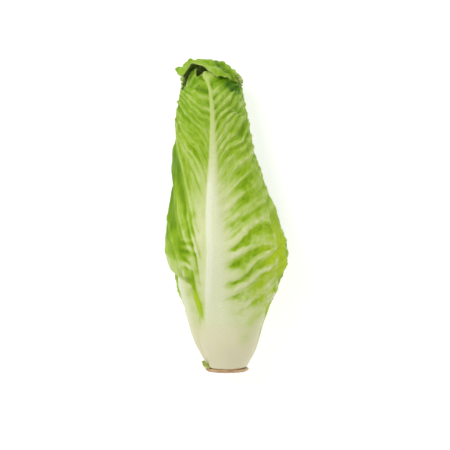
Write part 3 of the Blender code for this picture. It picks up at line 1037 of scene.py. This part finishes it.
def add_piece(
    name: str, mesh_data: bmesh.types.BMesh, finish: bpy.types.Material,
    colours: dict[str, np.ndarray], uv: np.ndarray, replaces: bool = True,
) -> bpy.types.Object:
    """Turns a bmesh into a smooth piece.

    Args:
        name: The piece's name, before its ending.
        mesh_data: The finished bmesh, which is freed.
        finish: The piece's material.
        colours: Values for each vertex, by attribute name.
        uv: The place of each vertex on the UV map.
        replaces: Whether the piece stands for the part's node of its name.

    Returns:
        The piece.
    """
    mesh = bpy.data.meshes.new(name)
    mesh_data.to_mesh(mesh)
    mesh_data.free()
    mesh.materials.append(finish)
    mesh.shade_smooth()
    for label, values in colours.items():
        mesh.attributes.new(label, "FLOAT", "POINT").data.foreach_set("value", values.astype(np.float32))
    corners = np.zeros(len(mesh.loops), np.int32)
    mesh.loops.foreach_get("vertex_index", corners)
    mesh.uv_layers.new(name="leaf").data.foreach_set("uv", uv[corners].astype(np.float32).ravel())
    piece = bpy.data.objects.new(f"{name}_skin", mesh)
    bpy.context.scene.collection.objects.link(piece)
    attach(piece, BODY)
    if replaces:
        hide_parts(name)
    return piece


def colour(red: float, green: float, blue: float) -> tuple[float, float, float, float]:
    """A colour for a shader, from the 0 to 255 numbers that a screen shows."""
    def linear(value: float) -> float:
        """One channel as light."""
        value /= 255.0
        return value / 12.92 if value <= 0.04045 else ((value + 0.055) / 1.055) ** 2.4

    return linear(red), linear(green), linear(blue), 1.0


class Nodes:
    """Adds and links the nodes of one material."""

    def __init__(self, name: str) -> None:
        """Makes the material, with its shader and output."""
        self.material = bpy.data.materials.new(name)
        self.material.use_nodes = True
        self.tree = self.material.node_tree
        self.shader = self.tree.nodes["Principled BSDF"]

    def add(self, kind: str, inputs: dict | None = None, **settings: object) -> bpy.types.Node:
        """Adds a node.

        Args:
            kind: The node's type, without its ShaderNode prefix.
            inputs: Values or output sockets, by input name or number.
            settings: The node's own settings.

        Returns:
            The node.
        """
        node = self.tree.nodes.new(f"ShaderNode{kind}")
        for key, value in settings.items():
            setattr(node, key, value)
        for key, value in (inputs or {}).items():
            self.join(value, node.inputs[key])
        return node

    def join(self, value: object, socket: bpy.types.NodeSocket) -> None:
        """Links an output socket to an input, or sets the input's value."""
        if isinstance(value, bpy.types.NodeSocket):
            self.tree.links.new(value, socket)
        else:
            socket.default_value = value

    def attribute(self, name: str) -> bpy.types.NodeSocket:
        """A value that the piece holds at each vertex."""
        return self.add("Attribute", attribute_name=name).outputs["Fac"]

    def ramp(self, factor: bpy.types.NodeSocket, stops: tuple) -> bpy.types.NodeSocket:
        """Colours along a scale, from (place, colour) pairs."""
        node = self.add("ValToRGB", {"Fac": factor})
        elements = node.color_ramp.elements
        for place, shade in stops[2:]:
            elements.new(place)
        for element, (place, shade) in zip(elements, stops):
            element.position = place
            element.color = shade
        return node.outputs["Color"]

    def mix(self, factor: object, first: object, second: object) -> bpy.types.NodeSocket:
        """Two colours mixed."""
        # The node has sockets for several kinds of value, and these are the ones for colours.
        return self.add("Mix", {0: factor, 6: first, 7: second}, data_type="RGBA").outputs[2]

    def maths(
        self, operation: str, first: object, second: object, clamp: bool = False,
    ) -> bpy.types.NodeSocket:
        """One sum of two values."""
        return self.add("Math", {0: first, 1: second}, operation=operation, use_clamp=clamp).outputs[0]

    def noise(self, place: bpy.types.NodeSocket, scale: float, detail: float = 2.0) -> bpy.types.NodeSocket:
        """Soft noise from 0 to 1."""
        return self.add("TexNoise", {"Vector": place, "Scale": scale, "Detail": detail}).outputs["Fac"]

    def add_bump(self, height: bpy.types.NodeSocket, strength: float, depth: float) -> None:
        """Roughens the shader's surface by a height."""
        bumped = self.add("Bump", {"Height": height, "Strength": strength, "Distance": depth})
        self.join(bumped.outputs["Normal"], self.shader.inputs["Normal"])


def even_stops(*shades: tuple) -> tuple:
    """A ramp's (place, colour) pairs, with its colours evenly along it."""
    return tuple((number / (len(shades) - 1), shade) for number, shade in enumerate(shades))


@dataclass(frozen=True)
class LeafFinish:
    """A lettuce leaf: pale along its veins, greener between them, with a soft gloss.

    The colours from deep to white follow the leaf's tone, and the fresh ones take the place of the
    first three where it is fresh. speckle is a fine grain, and net the finest net of veins.
    """

    name: str
    deep: tuple = colour(104, 147, 0)
    green: tuple = colour(136, 174, 8)
    light: tuple = colour(160, 194, 52)
    pale: tuple = colour(190, 211, 114)
    cream: tuple = colour(216, 224, 162)
    white: tuple = colour(239, 242, 212)
    fresh_deep: tuple = colour(72, 122, 8)
    fresh_green: tuple = colour(112, 160, 20)
    fresh_light: tuple = colour(146, 188, 56)
    warm_tint: tuple = colour(200, 222, 42)
    base_cream: tuple = colour(234, 232, 198)
    base_tan: tuple = colour(224, 214, 174)
    cut_brown: tuple = colour(214, 174, 132)
    warm_limit: float = 0.9
    tan_scale: float = 3.0
    speckle_scale: float = 90.0
    speckle_tone: float = 0.10
    net_scale: float = 42.0
    net_sharpness: float = 9.0
    net_tone: float = 0.05
    net_height: float = 0.35
    bump_strength: float = 0.35
    bump_depth: float = 0.0004
    roughness: float = 0.34
    roughness_spread: float = 0.16
    specular: float = 0.14
    subsurface: float = 0.12
    subsurface_reach: tuple[float, float, float] = (0.8, 1.0, 0.3)
    subsurface_depth: float = 0.0015

    def material(self) -> bpy.types.Material:
        """Builds the material."""
        nodes = Nodes(self.name)
        place = nodes.add("TexCoord").outputs["UV"]
        speckle = nodes.noise(place, self.speckle_scale, 3.0)
        cells = nodes.add(
            "TexVoronoi", {"Vector": place, "Scale": self.net_scale}, feature="DISTANCE_TO_EDGE",
        )
        filled = nodes.maths("MULTIPLY", cells.outputs["Distance"], self.net_sharpness, clamp=True)
        line = nodes.maths("SUBTRACT", 1.0, filled)
        nodes.join(self.skin(nodes, place, speckle, line), nodes.shader.inputs["Base Color"])
        grain = nodes.maths("ADD", nodes.maths("MULTIPLY", line, self.net_height), speckle)
        nodes.add_bump(grain, self.bump_strength, self.bump_depth)
        gloss = nodes.maths("MULTIPLY", speckle, self.roughness_spread)
        nodes.join(nodes.maths("ADD", gloss, self.roughness), nodes.shader.inputs["Roughness"])
        nodes.shader.inputs["Specular IOR Level"].default_value = self.specular
        nodes.shader.inputs["Subsurface Weight"].default_value = self.subsurface
        nodes.shader.inputs["Subsurface Radius"].default_value = self.subsurface_reach
        nodes.shader.inputs["Subsurface Scale"].default_value = self.subsurface_depth
        return nodes.material

    def skin(
        self, nodes: Nodes, place: bpy.types.NodeSocket, speckle: bpy.types.NodeSocket,
        line: bpy.types.NodeSocket,
    ) -> bpy.types.NodeSocket:
        """The leaf's colour, from the tone and the other attributes that the piece holds.

        Args:
            nodes: The material's nodes.
            place: Where on the leaf the colour is read.
            speckle: Fine noise.
            line: 1 on the fine net of veins.

        Returns:
            The colour.
        """
        tone = nodes.maths("ADD", nodes.attribute("pale"), nodes.maths("MULTIPLY", line, self.net_tone))
        spread = nodes.maths("MULTIPLY", nodes.maths("SUBTRACT", speckle, 0.5), self.speckle_tone)
        tone = nodes.maths("ADD", tone, spread, clamp=True)
        plain = nodes.ramp(tone, even_stops(
            self.deep, self.green, self.light, self.pale, self.cream, self.white,
        ))
        fresh = nodes.ramp(tone, even_stops(
            self.fresh_deep, self.fresh_green, self.fresh_light, self.pale, self.cream, self.white,
        ))
        skin = nodes.mix(nodes.attribute("fresh"), plain, fresh)
        room = nodes.maths("SUBTRACT", self.warm_limit, tone)
        warmth = nodes.maths("MULTIPLY", nodes.attribute("warm"), room, clamp=True)
        skin = nodes.mix(warmth, skin, self.warm_tint)
        tan = nodes.mix(nodes.noise(place, self.tan_scale), self.base_cream, self.base_tan)
        skin = nodes.mix(nodes.attribute("cream"), skin, tan)
        return nodes.mix(nodes.attribute("cut"), skin, self.cut_brown)


@dataclass(frozen=True)
class StemFinish:
    """The cut stem: cream flesh with a browned cut face."""

    name: str
    flesh: tuple = colour(224, 214, 170)
    browned: tuple = colour(218, 184, 138)
    dark: tuple = colour(186, 142, 96)
    ring: tuple = colour(176, 124, 78)
    patch_scale: float = 260.0
    bump_strength: float = 0.5
    bump_depth: float = 0.0006
    roughness: float = 0.6

    def material(self) -> bpy.types.Material:
        """Builds the material."""
        nodes = Nodes(self.name)
        place = nodes.add("TexCoord").outputs["Object"]
        patch = nodes.noise(place, self.patch_scale, 4.0)
        face = nodes.ramp(patch, ((0.3, self.dark), (0.62, self.browned)))
        face = nodes.mix(nodes.attribute("ring"), face, self.ring)
        skin = nodes.mix(nodes.attribute("cut"), self.flesh, face)
        nodes.join(skin, nodes.shader.inputs["Base Color"])
        nodes.add_bump(patch, self.bump_strength, self.bump_depth)
        nodes.shader.inputs["Roughness"].default_value = self.roughness
        return nodes.material


@dataclass
class Stem:
    """The short stem: a browned cut disc under the leaves and a cone inside them.

    lumpiness is a share of the radius, pits are as deep as that many millimetres, collar widens the
    rim of the cut and collar_rise lifts it, and the ring is a darker one on the cut face.
    """

    form: HeartForm
    outline: Curve = (
        (0.0, 0.0), (13.3, 0.0), (14.3, 0.8), (14.3, 1.8), (13.5, 2.5), (9.2, 2.5), (2.8, 52.0),
        (1.8, 53.6), (0.0, 54.0),
    )
    steps: int = 96
    step_length: float = 1.4
    lumpiness: float = 0.02
    pits: float = 0.35
    collar: float = 0.09
    collar_rise: float = 0.2
    ring_radius: float = 8.2
    ring_width: float = 1.1
    name: str = "stem"

    def settle(self) -> None:
        """Works out how far the part's frame is from the form's own, from where the stem's node is."""
        turns = np.linspace(0.0, 2.0 * math.pi, 25)[:-1]
        rings = np.array([(r * np.cos(a), h, r * np.sin(a)) for r, h in self.outline for a in turns])
        laid = self.form.lay_down(rings)
        low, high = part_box(self.name)
        middle = (np.array(low) + np.array(high)) / 2.0
        self.form.shift[:2] = (middle - (laid.min(axis=0) + laid.max(axis=0)) / 2.0)[:2] / MM

    def build(self, finish: bpy.types.Material) -> bpy.types.Object:
        """Turns the outline about the axis, roughens it and lays it down.

        Args:
            finish: The stem's material.

        Returns:
            The finished piece.
        """
        bm = self.turned()
        upright = np.array([(v.co.x, v.co.z, -v.co.y) for v in bm.verts])
        angle = np.arctan2(upright[:, 2], upright[:, 0])
        radius = np.hypot(upright[:, 0], upright[:, 2])
        lumps = Noise.smooth(2.6 * np.cos(angle) + 9.0, 2.6 * np.sin(angle) + 9.0, 5)
        lumps = lumps + 0.4 * Noise.smooth(7.0 * np.cos(angle) + 9.0, 7.0 * np.sin(angle) + 9.0, 6)
        # The rim of the cut widens under the leaves, so that no dark groove shows between them.
        collar = band((0.3, 1.5), (2.6, 3.0), upright[:, 1]) * ease(11.0, 13.0, radius)
        grow = 1.0 + self.lumpiness * lumps * ease(4.0, 13.0, radius) + self.collar * collar
        upright[:, 0] *= grow
        upright[:, 2] *= grow
        upright[:, 1] += self.collar_rise * collar
        face = 1.0 - ease(0.0, 0.4, upright[:, 1])
        upright[:, 1] += face * self.pits * np.abs(Noise.smooth(upright[:, 0] / 3.0, upright[:, 2] / 3.0, 8))
        move_points(bm, self.form.lay_down(upright))
        ring = bell(radius, self.ring_radius, self.ring_width) * (0.45 + 0.35 * lumps)
        rim = 0.8 * ease(12.3, 13.6, radius) * (1.0 - ease(0.2, 1.2, upright[:, 1]))
        ring = np.clip(np.maximum(ring, rim), 0.0, 1.0)
        colours = {"cut": 1.0 - ease(2.2, 4.0, upright[:, 1]), "ring": ring}
        return add_piece(self.name, bm, finish, colours, upright[:, [0, 2]] / UV_LENGTH)

    def turned(self) -> bmesh.types.BMesh:
        """The outline, in short steps, turned about the axis."""
        bm = bmesh.new()
        fine = []
        for (r0, h0), (r1, h1) in zip(self.outline, self.outline[1:]):
            count = max(1, round(math.hypot(r1 - r0, h1 - h0) / self.step_length))
            fine += [(r0 + (r1 - r0) * i / count, h0 + (h1 - h0) * i / count) for i in range(count)]
        fine.append(self.outline[-1])
        line = [bm.verts.new((radius, 0.0, height)) for radius, height in fine]
        edges = [bm.edges.new(pair) for pair in zip(line, line[1:])]
        bmesh.ops.spin(
            bm, geom=line + edges, cent=(0.0, 0.0, 0.0), axis=(0.0, 0.0, 1.0), angle=2.0 * math.pi,
            steps=self.steps, use_merge=True,
        )
        bmesh.ops.remove_doubles(bm, verts=bm.verts[:], dist=0.01)
        return bm


@dataclass
class Scrap:
    """The torn bit of an older leaf that is left on the base, beside the cut.

    angle is where it sits round the base and spread how far it reaches either way. foot and stand
    are how far its bottom and its top stand off the heart.
    """

    form: HeartForm
    angle: float = -65.0
    spread: float = 13.0
    low: float = 3.0
    height: float = 4.8
    foot: float = 0.5
    stand: float = 0.9
    thickness: float = 1.2
    grid: tuple[int, int] = (24, 26)
    width: float = 3.0
    tan: float = 0.25
    seed: int = 91

    def build(self, finish: bpy.types.Material) -> bpy.types.Object:
        """Bends a small thick grid round the base, with its ragged top standing off it.

        Args:
            finish: The leaves' material.

        Returns:
            The finished piece.
        """
        bm, side, up, inner = double_grid(*self.grid)
        up = (up + 1.0) / 2.0
        ragged = Noise.smooth(side * 2.5, np.zeros_like(side), self.seed)
        lump = Noise.smooth(side * 2.0, up * 3.0, self.seed + 1)
        height = self.low + self.height * up * (1.0 - 0.3 * side**2 + 0.35 * ragged)
        angle = np.radians(self.angle + self.spread * side * (1.0 - 0.35 * up) + 4.0 * up)
        radius = smooth_curve(self.form.profile[:-1], height) + self.foot + self.stand * up**1.5
        radius = radius + 0.6 * lump * ease(0.0, 0.5, up) - self.thickness * inner
        upright = np.stack([radius * np.sin(angle), height, radius * np.cos(angle)], axis=-1)
        move_points(bm, self.form.lay_down(upright))
        plain = np.zeros_like(up)
        colours = {"pale": 0.55 - 0.4 * up + 0.1 * lump, "warm": plain, "fresh": plain, "cream": plain}
        colours["cut"] = plain + self.tan
        uv = np.stack([side * self.width, height], axis=-1) / UV_LENGTH
        return add_piece("base_scrap", bm, finish, colours, uv, replaces=False)


FRONT_VEINS = VeinNet(
    left=(
        (18.0, 14.0, 34.0, 60.0, 0.3), (30.0, 26.0, 62.0, 92.0, 0.5), (52.0, 34.0, 84.0, 112.0, 0.6),
        (84.0, 30.0, 62.0, 84.0, 0.3), (104.0, 24.0, 46.0, 64.0, 0.4), (113.0, 26.0, 41.0, 56.0, 0.9),
        (121.0, 25.0, 37.5, 52.0, 0.9), (131.0, 24.0, 36.0, 50.0, 1.0), (141.0, 19.0, 31.0, 43.0, 0.6),
        (150.5, 15.5, 25.5, 36.0, 0.7), (160.0, 14.0, 25.0, 35.0, 0.9), (168.0, 11.5, 22.5, 32.0, 0.6),
        (175.0, 10.0, 20.0, 29.0, 0.9), (183.0, 8.0, 17.0, 25.0, 0.8), (192.0, 7.0, 14.0, 22.0, 0.6),
    ),
    right=(
        (26.0, 1.0, 2.5, 5.0, 0.4), (36.0, 1.0, 2.5, 6.0, 0.6), (45.5, 1.5, 3.5, 9.0, 0.8),
        (54.0, 3.5, 7.5, 13.0, 0.9), (66.0, 2.5, 4.5, 12.0, 1.0), (79.0, 3.5, 7.0, 12.0, 0.7),
        (86.0, 5.0, 11.0, 20.0, 1.0), (97.0, 8.0, 16.0, 24.0, 0.7), (106.0, 11.0, 20.0, 27.0, 0.9),
        (115.0, 12.5, 22.5, 29.5, 0.6), (123.0, 14.0, 24.0, 31.0, 0.8), (131.0, 15.0, 25.0, 32.0, 0.9),
        (139.0, 15.0, 25.0, 32.5, 0.6), (146.5, 15.0, 25.5, 33.5, 0.8), (155.0, 14.5, 24.5, 33.0, 0.8),
        (163.0, 13.5, 22.5, 31.0, 0.9), (170.5, 13.0, 22.0, 31.0, 0.8), (179.0, 12.0, 20.5, 29.0, 0.7),
        (188.0, 11.0, 19.0, 27.0, 0.6), (197.0, 9.0, 17.0, 24.0, 0.4),
    ),
    seed=3,
)


@dataclass
class Heart:
    """The whole heart: the stem, its four outer leaves, the leaves inside them and the torn scrap."""

    form: HeartForm = field(default_factory=HeartForm)
    inner_count: int = 9
    inner_first_angle: float = 38.0
    golden_angle: float = 137.5
    inner_first_layer: float = 0.78
    inner_layer_step: float = 0.053
    inner_length: float = 236.0
    inner_shortening: float = 1.5
    inner_rib_thickness: float = 5.2
    inner_rib_half_width: float = 12.0

    def front(self) -> Leaf:
        """The leaf that faces up."""
        return Leaf(
            self.form, "leaf_front", angle=-2.0, layer=1.0, base_layer=1.0, length=230.0,
            left=(
                (0.0, 17.0), (0.06, 21.0), (0.16, 21.0), (0.2, 21.5), (0.245, 25.0), (0.278, 28.0),
                (0.29, 36.0), (0.302, 57.0), (0.33, 62.0), (0.4, 63.0), (0.5, 58.0), (0.65, 48.0),
                (0.85, 40.0), (1.0, 30.0),
            ),
            right=(
                (0.0, 18.5), (0.06, 26.0), (0.137, 35.0), (0.2, 35.5), (0.222, 42.0), (0.245, 39.0),
                (0.283, 41.5), (0.3, 47.0), (0.4, 49.0), (0.5, 52.0), (0.65, 45.0), (0.85, 40.0), (1.0, 32.0),
            ),
            veins=FRONT_VEINS, slot=Slot.OUTER, tip_layer=-0.022,
            tip_line=(
                (-1.0, 20.0), (-0.72, 10.0), (-0.47, 11.0), (-0.3, 12.0), (-0.14, 13.0), (-0.085, 3.0),
                (-0.04, 0.5), (0.0, 0.0), (0.3, 0.0), (0.7, -2.0), (1.0, 0.0),
            ),
            rib_half_width=19.0, rib_thickness=5.0, rib_rise=1.4,
            rib_drift=(
                (0.0, -1.0), (0.26, -8.2), (0.43, -8.0), (0.59, -4.8), (0.73, 0.2), (0.86, 2.0), (0.92, 0.8),
                (0.965, -1.2), (1.0, -2.6),
            ),
            margin_tuck=-0.006, ruffle=0.02, wave=0.7, wave_count=7.0, grid=(150, 300), ridge=2.0, mottle=1.0,
            pushes=(
                Push(226.0, -5.0, 6.0, 5.0, sideways=-3.5), Push(222.0, 20.0, 5.0, 7.0, layer=-0.07),
                Push(212.0, 20.0, 4.0, 6.0, layer=0.045), Push(203.0, 22.0, 3.0, 8.0, layer=-0.04),
                Push(196.0, 24.0, 4.0, 8.0, layer=0.03), Push(186.0, 26.0, 3.0, 8.0, layer=-0.035),
            ),
            ragged=0.6, brim=Brim(), ladder=Ladder(), left_softness=0.2, corner=1.0,
            fold_right=((0.0, 1.0), (140.0, 1.0), (165.0, 1.7), (192.0, 1.9), (212.0, 1.2)),
            white_left=(
                (0.0, 16.0), (33.0, 8.5), (51.0, 10.0), (63.0, 13.5), (80.0, 16.0), (102.0, 17.0),
                (110.0, 18.0), (119.0, 19.0), (127.0, 17.5), (140.0, 11.5), (150.0, 8.0), (180.0, 3.0),
                (210.0, 1.2),
            ),
            white_right=(
                (0.0, 20.0), (33.0, 18.0), (51.0, 13.0), (65.0, 12.5), (86.0, 12.5),
                (100.0, 15.0), (110.0, 16.5), (120.0, 16.5), (134.0, 13.0), (150.0, 8.0), (180.0, 3.0),
                (210.0, 1.5),
            ),
        )

    def back(self) -> Leaf:
        """The leaf that the heart lies on, whose tip folds over the top."""
        return Leaf(
            self.form, "leaf_back", angle=176.0, layer=0.985, base_layer=1.0, length=268.0,
            left=(
                (0.0, 16.0), (0.12, 24.0), (0.26, 34.0), (0.4, 43.0),
                (0.6, 38.0), (0.78, 33.0), (0.9, 29.0), (1.0, 26.0),
            ),
            right=(
                (0.0, 16.0), (0.12, 24.0), (0.26, 34.0), (0.4, 44.0),
                (0.6, 38.0), (0.78, 32.0), (0.88, 27.0), (0.95, 24.5), (1.0, 27.0),
            ),
            veins=VeinNet.grown(17), slot=Slot.OUTER, tip_layer=0.047,
            tip_line=(
                (-1.0, -5.0), (-0.65, -6.0), (-0.4, -5.5), (-0.17, -5.0), (0.0, -2.0), (0.12, 0.0),
                (0.3, 0.5), (0.45, 0.5), (0.56, -7.0), (0.66, -15.0), (0.8, -15.0), (0.92, -9.0),
                (1.0, 2.0),
            ),
            pushes=(
                Push(264.0, 15.0, 12.0, 8.0, layer=0.115), Push(284.0, 24.0, 14.0, 9.0, layer=0.25),
                Push(262.0, -2.0, 2.0, 8.0, layer=-0.08), Push(266.0, -14.0, 2.0, 7.0, layer=-0.085),
                Push(257.0, -9.0, 2.4, 9.0, layer=-0.055), Push(252.0, 6.0, 2.4, 9.0, layer=-0.05),
                Push(261.0, 11.0, 2.2, 6.0, layer=-0.045), Push(265.0, 4.0, 2.4, 5.0, layer=0.04),
            ),
            ragged=0.4, crumple=1.15, freshness=-0.5, green=0.05, inside_pale=0.28,
            rib_half_width=17.0, rib_thickness=5.0, rib_rise=1.2, margin_tuck=-0.003, ruffle=0.01,
            wave=0.6, wave_count=8.0, grid=(110, 270),
        )

    def right(self) -> Leaf:
        """The leaf round the right side."""
        return Leaf(
            self.form, "leaf_right", angle=108.0, layer=0.90, base_layer=0.96, length=236.0,
            left=(
                (0.0, 9.0), (0.05, 13.0), (0.12, 19.0), (0.26, 31.0),
                (0.42, 46.0), (0.6, 56.0), (0.8, 60.0), (1.0, 62.0),
            ),
            right=(
                (0.0, 9.0), (0.05, 13.0), (0.12, 20.0), (0.26, 27.0), (0.6, 32.0), (0.8, 30.0), (1.0, 20.0),
            ),
            tip_line=((-1.0, 14.0), (-0.6, 6.0), (0.0, 0.0), (0.6, 12.0), (1.0, 26.0)), foot=25.0,
            white_left=((0.0, 16.0), (30.0, 8.0), (60.0, 5.0), (120.0, 5.0), (215.0, 1.0)),
            core=((0.0, 12.0), (23.0, 9.0), (45.0, 5.5), (86.0, 5.0), (120.0, 4.0), (220.0, 0.7)),
            veins=VeinNet.grown(29), slot=Slot.OUTER, root_spread=7.0, layer_change=(0.36, 0.6),
            turn=((0.0, -8.0), (0.12, -4.0), (0.3, 0.0), (1.0, 0.0)), grid=(90, 230),
        )

    def left(self) -> Leaf:
        """The leaf round the left side, whose rib shows beside the front leaf's."""
        return Leaf(
            self.form, "leaf_left", angle=-64.0, layer=0.85, base_layer=0.97, length=240.0,
            left=(
                (0.0, 12.0), (0.05, 17.0), (0.12, 24.0), (0.26, 35.0),
                (0.42, 45.0), (0.6, 52.0), (0.8, 52.0), (1.0, 36.0),
            ),
            right=(
                (0.0, 12.0), (0.12, 20.0), (0.26, 24.0), (0.42, 32.0), (0.6, 46.0), (0.8, 50.0), (1.0, 42.0),
            ),
            veins=VeinNet.grown(41), slot=Slot.OUTER, root_spread=7.0, layer_change=(0.27, 0.44),
            tip_layer=0.085, ragged=0.4, pushes=(Push(232.0, 2.0, 9.0, 12.0, layer=0.06),),
            tip_line=(
                (-1.0, 28.0), (-0.4, 23.0), (-0.1, 20.0), (-0.04, 19.0), (0.02, 6.0), (0.1, 8.5),
                (0.18, 12.0), (0.22, 12.5), (0.27, 9.5), (0.36, 8.5), (0.6, 7.0), (1.0, 12.0),
            ),
            turn=((0.0, -34.0), (0.08, -26.0), (0.2, -6.0), (0.3, 0.0), (1.0, 0.0)),
            rib_rise=0.8, rib_thickness=4.7, grid=(100, 230), foot=28.0, foot_rise=15.0,
            core=((0.0, 12.0), (23.0, 9.0), (45.0, 5.0), (86.0, 4.5), (120.0, 4.0), (220.0, 0.7)),
            white_left=((0.0, 16.0), (30.0, 6.0), (60.0, 3.5), (120.0, 4.0), (215.0, 1.0)),
        )

    def inner(self) -> list[Leaf]:
        """The leaves under the outer four, each a golden angle further round and one layer further in."""
        leaves = []
        for n in range(self.inner_count):
            layer = self.inner_first_layer - n * self.inner_layer_step
            leaves.append(Leaf(
                self.form, f"leaf_inner_{n + 1}", angle=self.inner_first_angle + n * self.golden_angle,
                layer=layer, base_layer=layer, length=self.inner_length - n * self.inner_shortening,
                left=INNER_WIDTH, right=INNER_WIDTH, veins=VeinNet.grown(50 + n),
                rib_thickness=self.inner_rib_thickness * layer, rib_half_width=self.inner_rib_half_width,
                wave_count=4.0 + n % 3, grid=(60, 120) if n < 5 else (40, 80), puckering=0.6,
                freshness=-0.5, warmth=0.1 * n, green=-0.2,
            ))
        return leaves

    def build(self) -> None:
        """Builds every piece and reports it."""
        stem = Stem(self.form)
        stem.settle()
        LOG.info("frame shift %s mm", np.round(self.form.shift, 2))
        leaf_finish = LeafFinish("leaf").material()
        pieces = [stem.build(StemFinish("stem_flesh").material())]
        for leaf in (self.front(), self.back(), self.right(), self.left(), *self.inner()):
            pieces.append(leaf.build(leaf_finish))
        pieces.append(Scrap(self.form).build(leaf_finish))
        for piece in pieces:
            LOG.info("%s: %d faces", piece.name, len(piece.data.polygons))


@dataclass(frozen=True)
class Lamp:
    """A square lamp that points at the heart, with its size in metres and its power in watts."""

    name: str
    place: tuple[float, float, float]
    size: float
    power: float

    def build(self) -> None:
        """Adds the lamp."""
        data = bpy.data.lights.new(self.name, "AREA")
        data.energy = self.power
        data.size = self.size
        lamp = bpy.data.objects.new(self.name, data)
        lamp.location = self.place
        lamp.rotation_euler = (-Vector(self.place)).to_track_quat("-Z", "Y").to_euler()
        bpy.context.scene.collection.objects.link(lamp)


@dataclass
class Studio:
    """A pale floor, soft light from the upper left and a camera straight above."""

    floor_size: float = 6.0
    floor_tone: int = 215
    floor_roughness: float = 0.9
    floor_glow: float = 0.58
    sky_strength: float = 0.55
    lamps: tuple[Lamp, ...] = (
        Lamp("key", (-0.8, 0.75, 1.3), size=0.7, power=11.0),
        Lamp("fill", (0.9, -0.5, 1.2), size=1.2, power=3.0),
    )
    camera_distance: float = 1.0
    camera_focus: tuple[float, float, float] = (-0.0007, -0.0070, 0.033)
    frame_width: float = 0.316
    sensor: float = 36.0

    def build(self) -> None:
        """Adds the floor, the lights and the camera."""
        self.add_floor()
        self.add_lights()
        self.add_camera()

    def add_floor(self) -> None:
        """Adds the floor, which glows a little, so that it stays pale around the heart."""
        bm = bmesh.new()
        bmesh.ops.create_grid(bm, x_segments=4, y_segments=4, size=self.floor_size / 2.0)
        mesh = bpy.data.meshes.new("floor")
        bm.to_mesh(mesh)
        bm.free()
        nodes = Nodes("floor")
        tone = self.floor_tone
        nodes.shader.inputs["Base Color"].default_value = colour(tone, tone, tone)
        nodes.shader.inputs["Roughness"].default_value = self.floor_roughness
        nodes.shader.inputs["Emission Color"].default_value = colour(255, 255, 255)
        nodes.shader.inputs["Emission Strength"].default_value = self.floor_glow
        mesh.materials.append(nodes.material)
        floor = bpy.data.objects.new("floor", mesh)
        bpy.context.scene.collection.objects.link(floor)

    def add_lights(self) -> None:
        """Adds the sky's even light and the soft lamps."""
        world = bpy.data.worlds.new("studio")
        world.use_nodes = True
        sky = world.node_tree.nodes["Background"]
        sky.inputs["Color"].default_value = colour(255, 255, 255)
        sky.inputs["Strength"].default_value = self.sky_strength
        bpy.context.scene.world = world
        bpy.context.scene.view_settings.view_transform = "Standard"
        for lamp in self.lamps:
            lamp.build()

    def add_camera(self) -> None:
        """Adds the camera, straight above and as wide as the photograph's frame."""
        data = bpy.data.cameras.new("camera")
        data.sensor_width = self.sensor
        data.lens = self.sensor * self.camera_distance / self.frame_width
        camera = bpy.data.objects.new("camera", data)
        camera.location = Vector(self.camera_focus) + Vector((0.0, 0.0, self.camera_distance))
        bpy.context.scene.collection.objects.link(camera)
        bpy.context.scene.camera = camera


def main() -> None:
    """Builds the heart and the studio."""
    logging.basicConfig(level=logging.INFO, format="%(message)s")
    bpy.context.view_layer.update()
    Heart().build()
    Studio().build()
    bpy.context.view_layer.update()


if __name__ == "__main__":
    main()
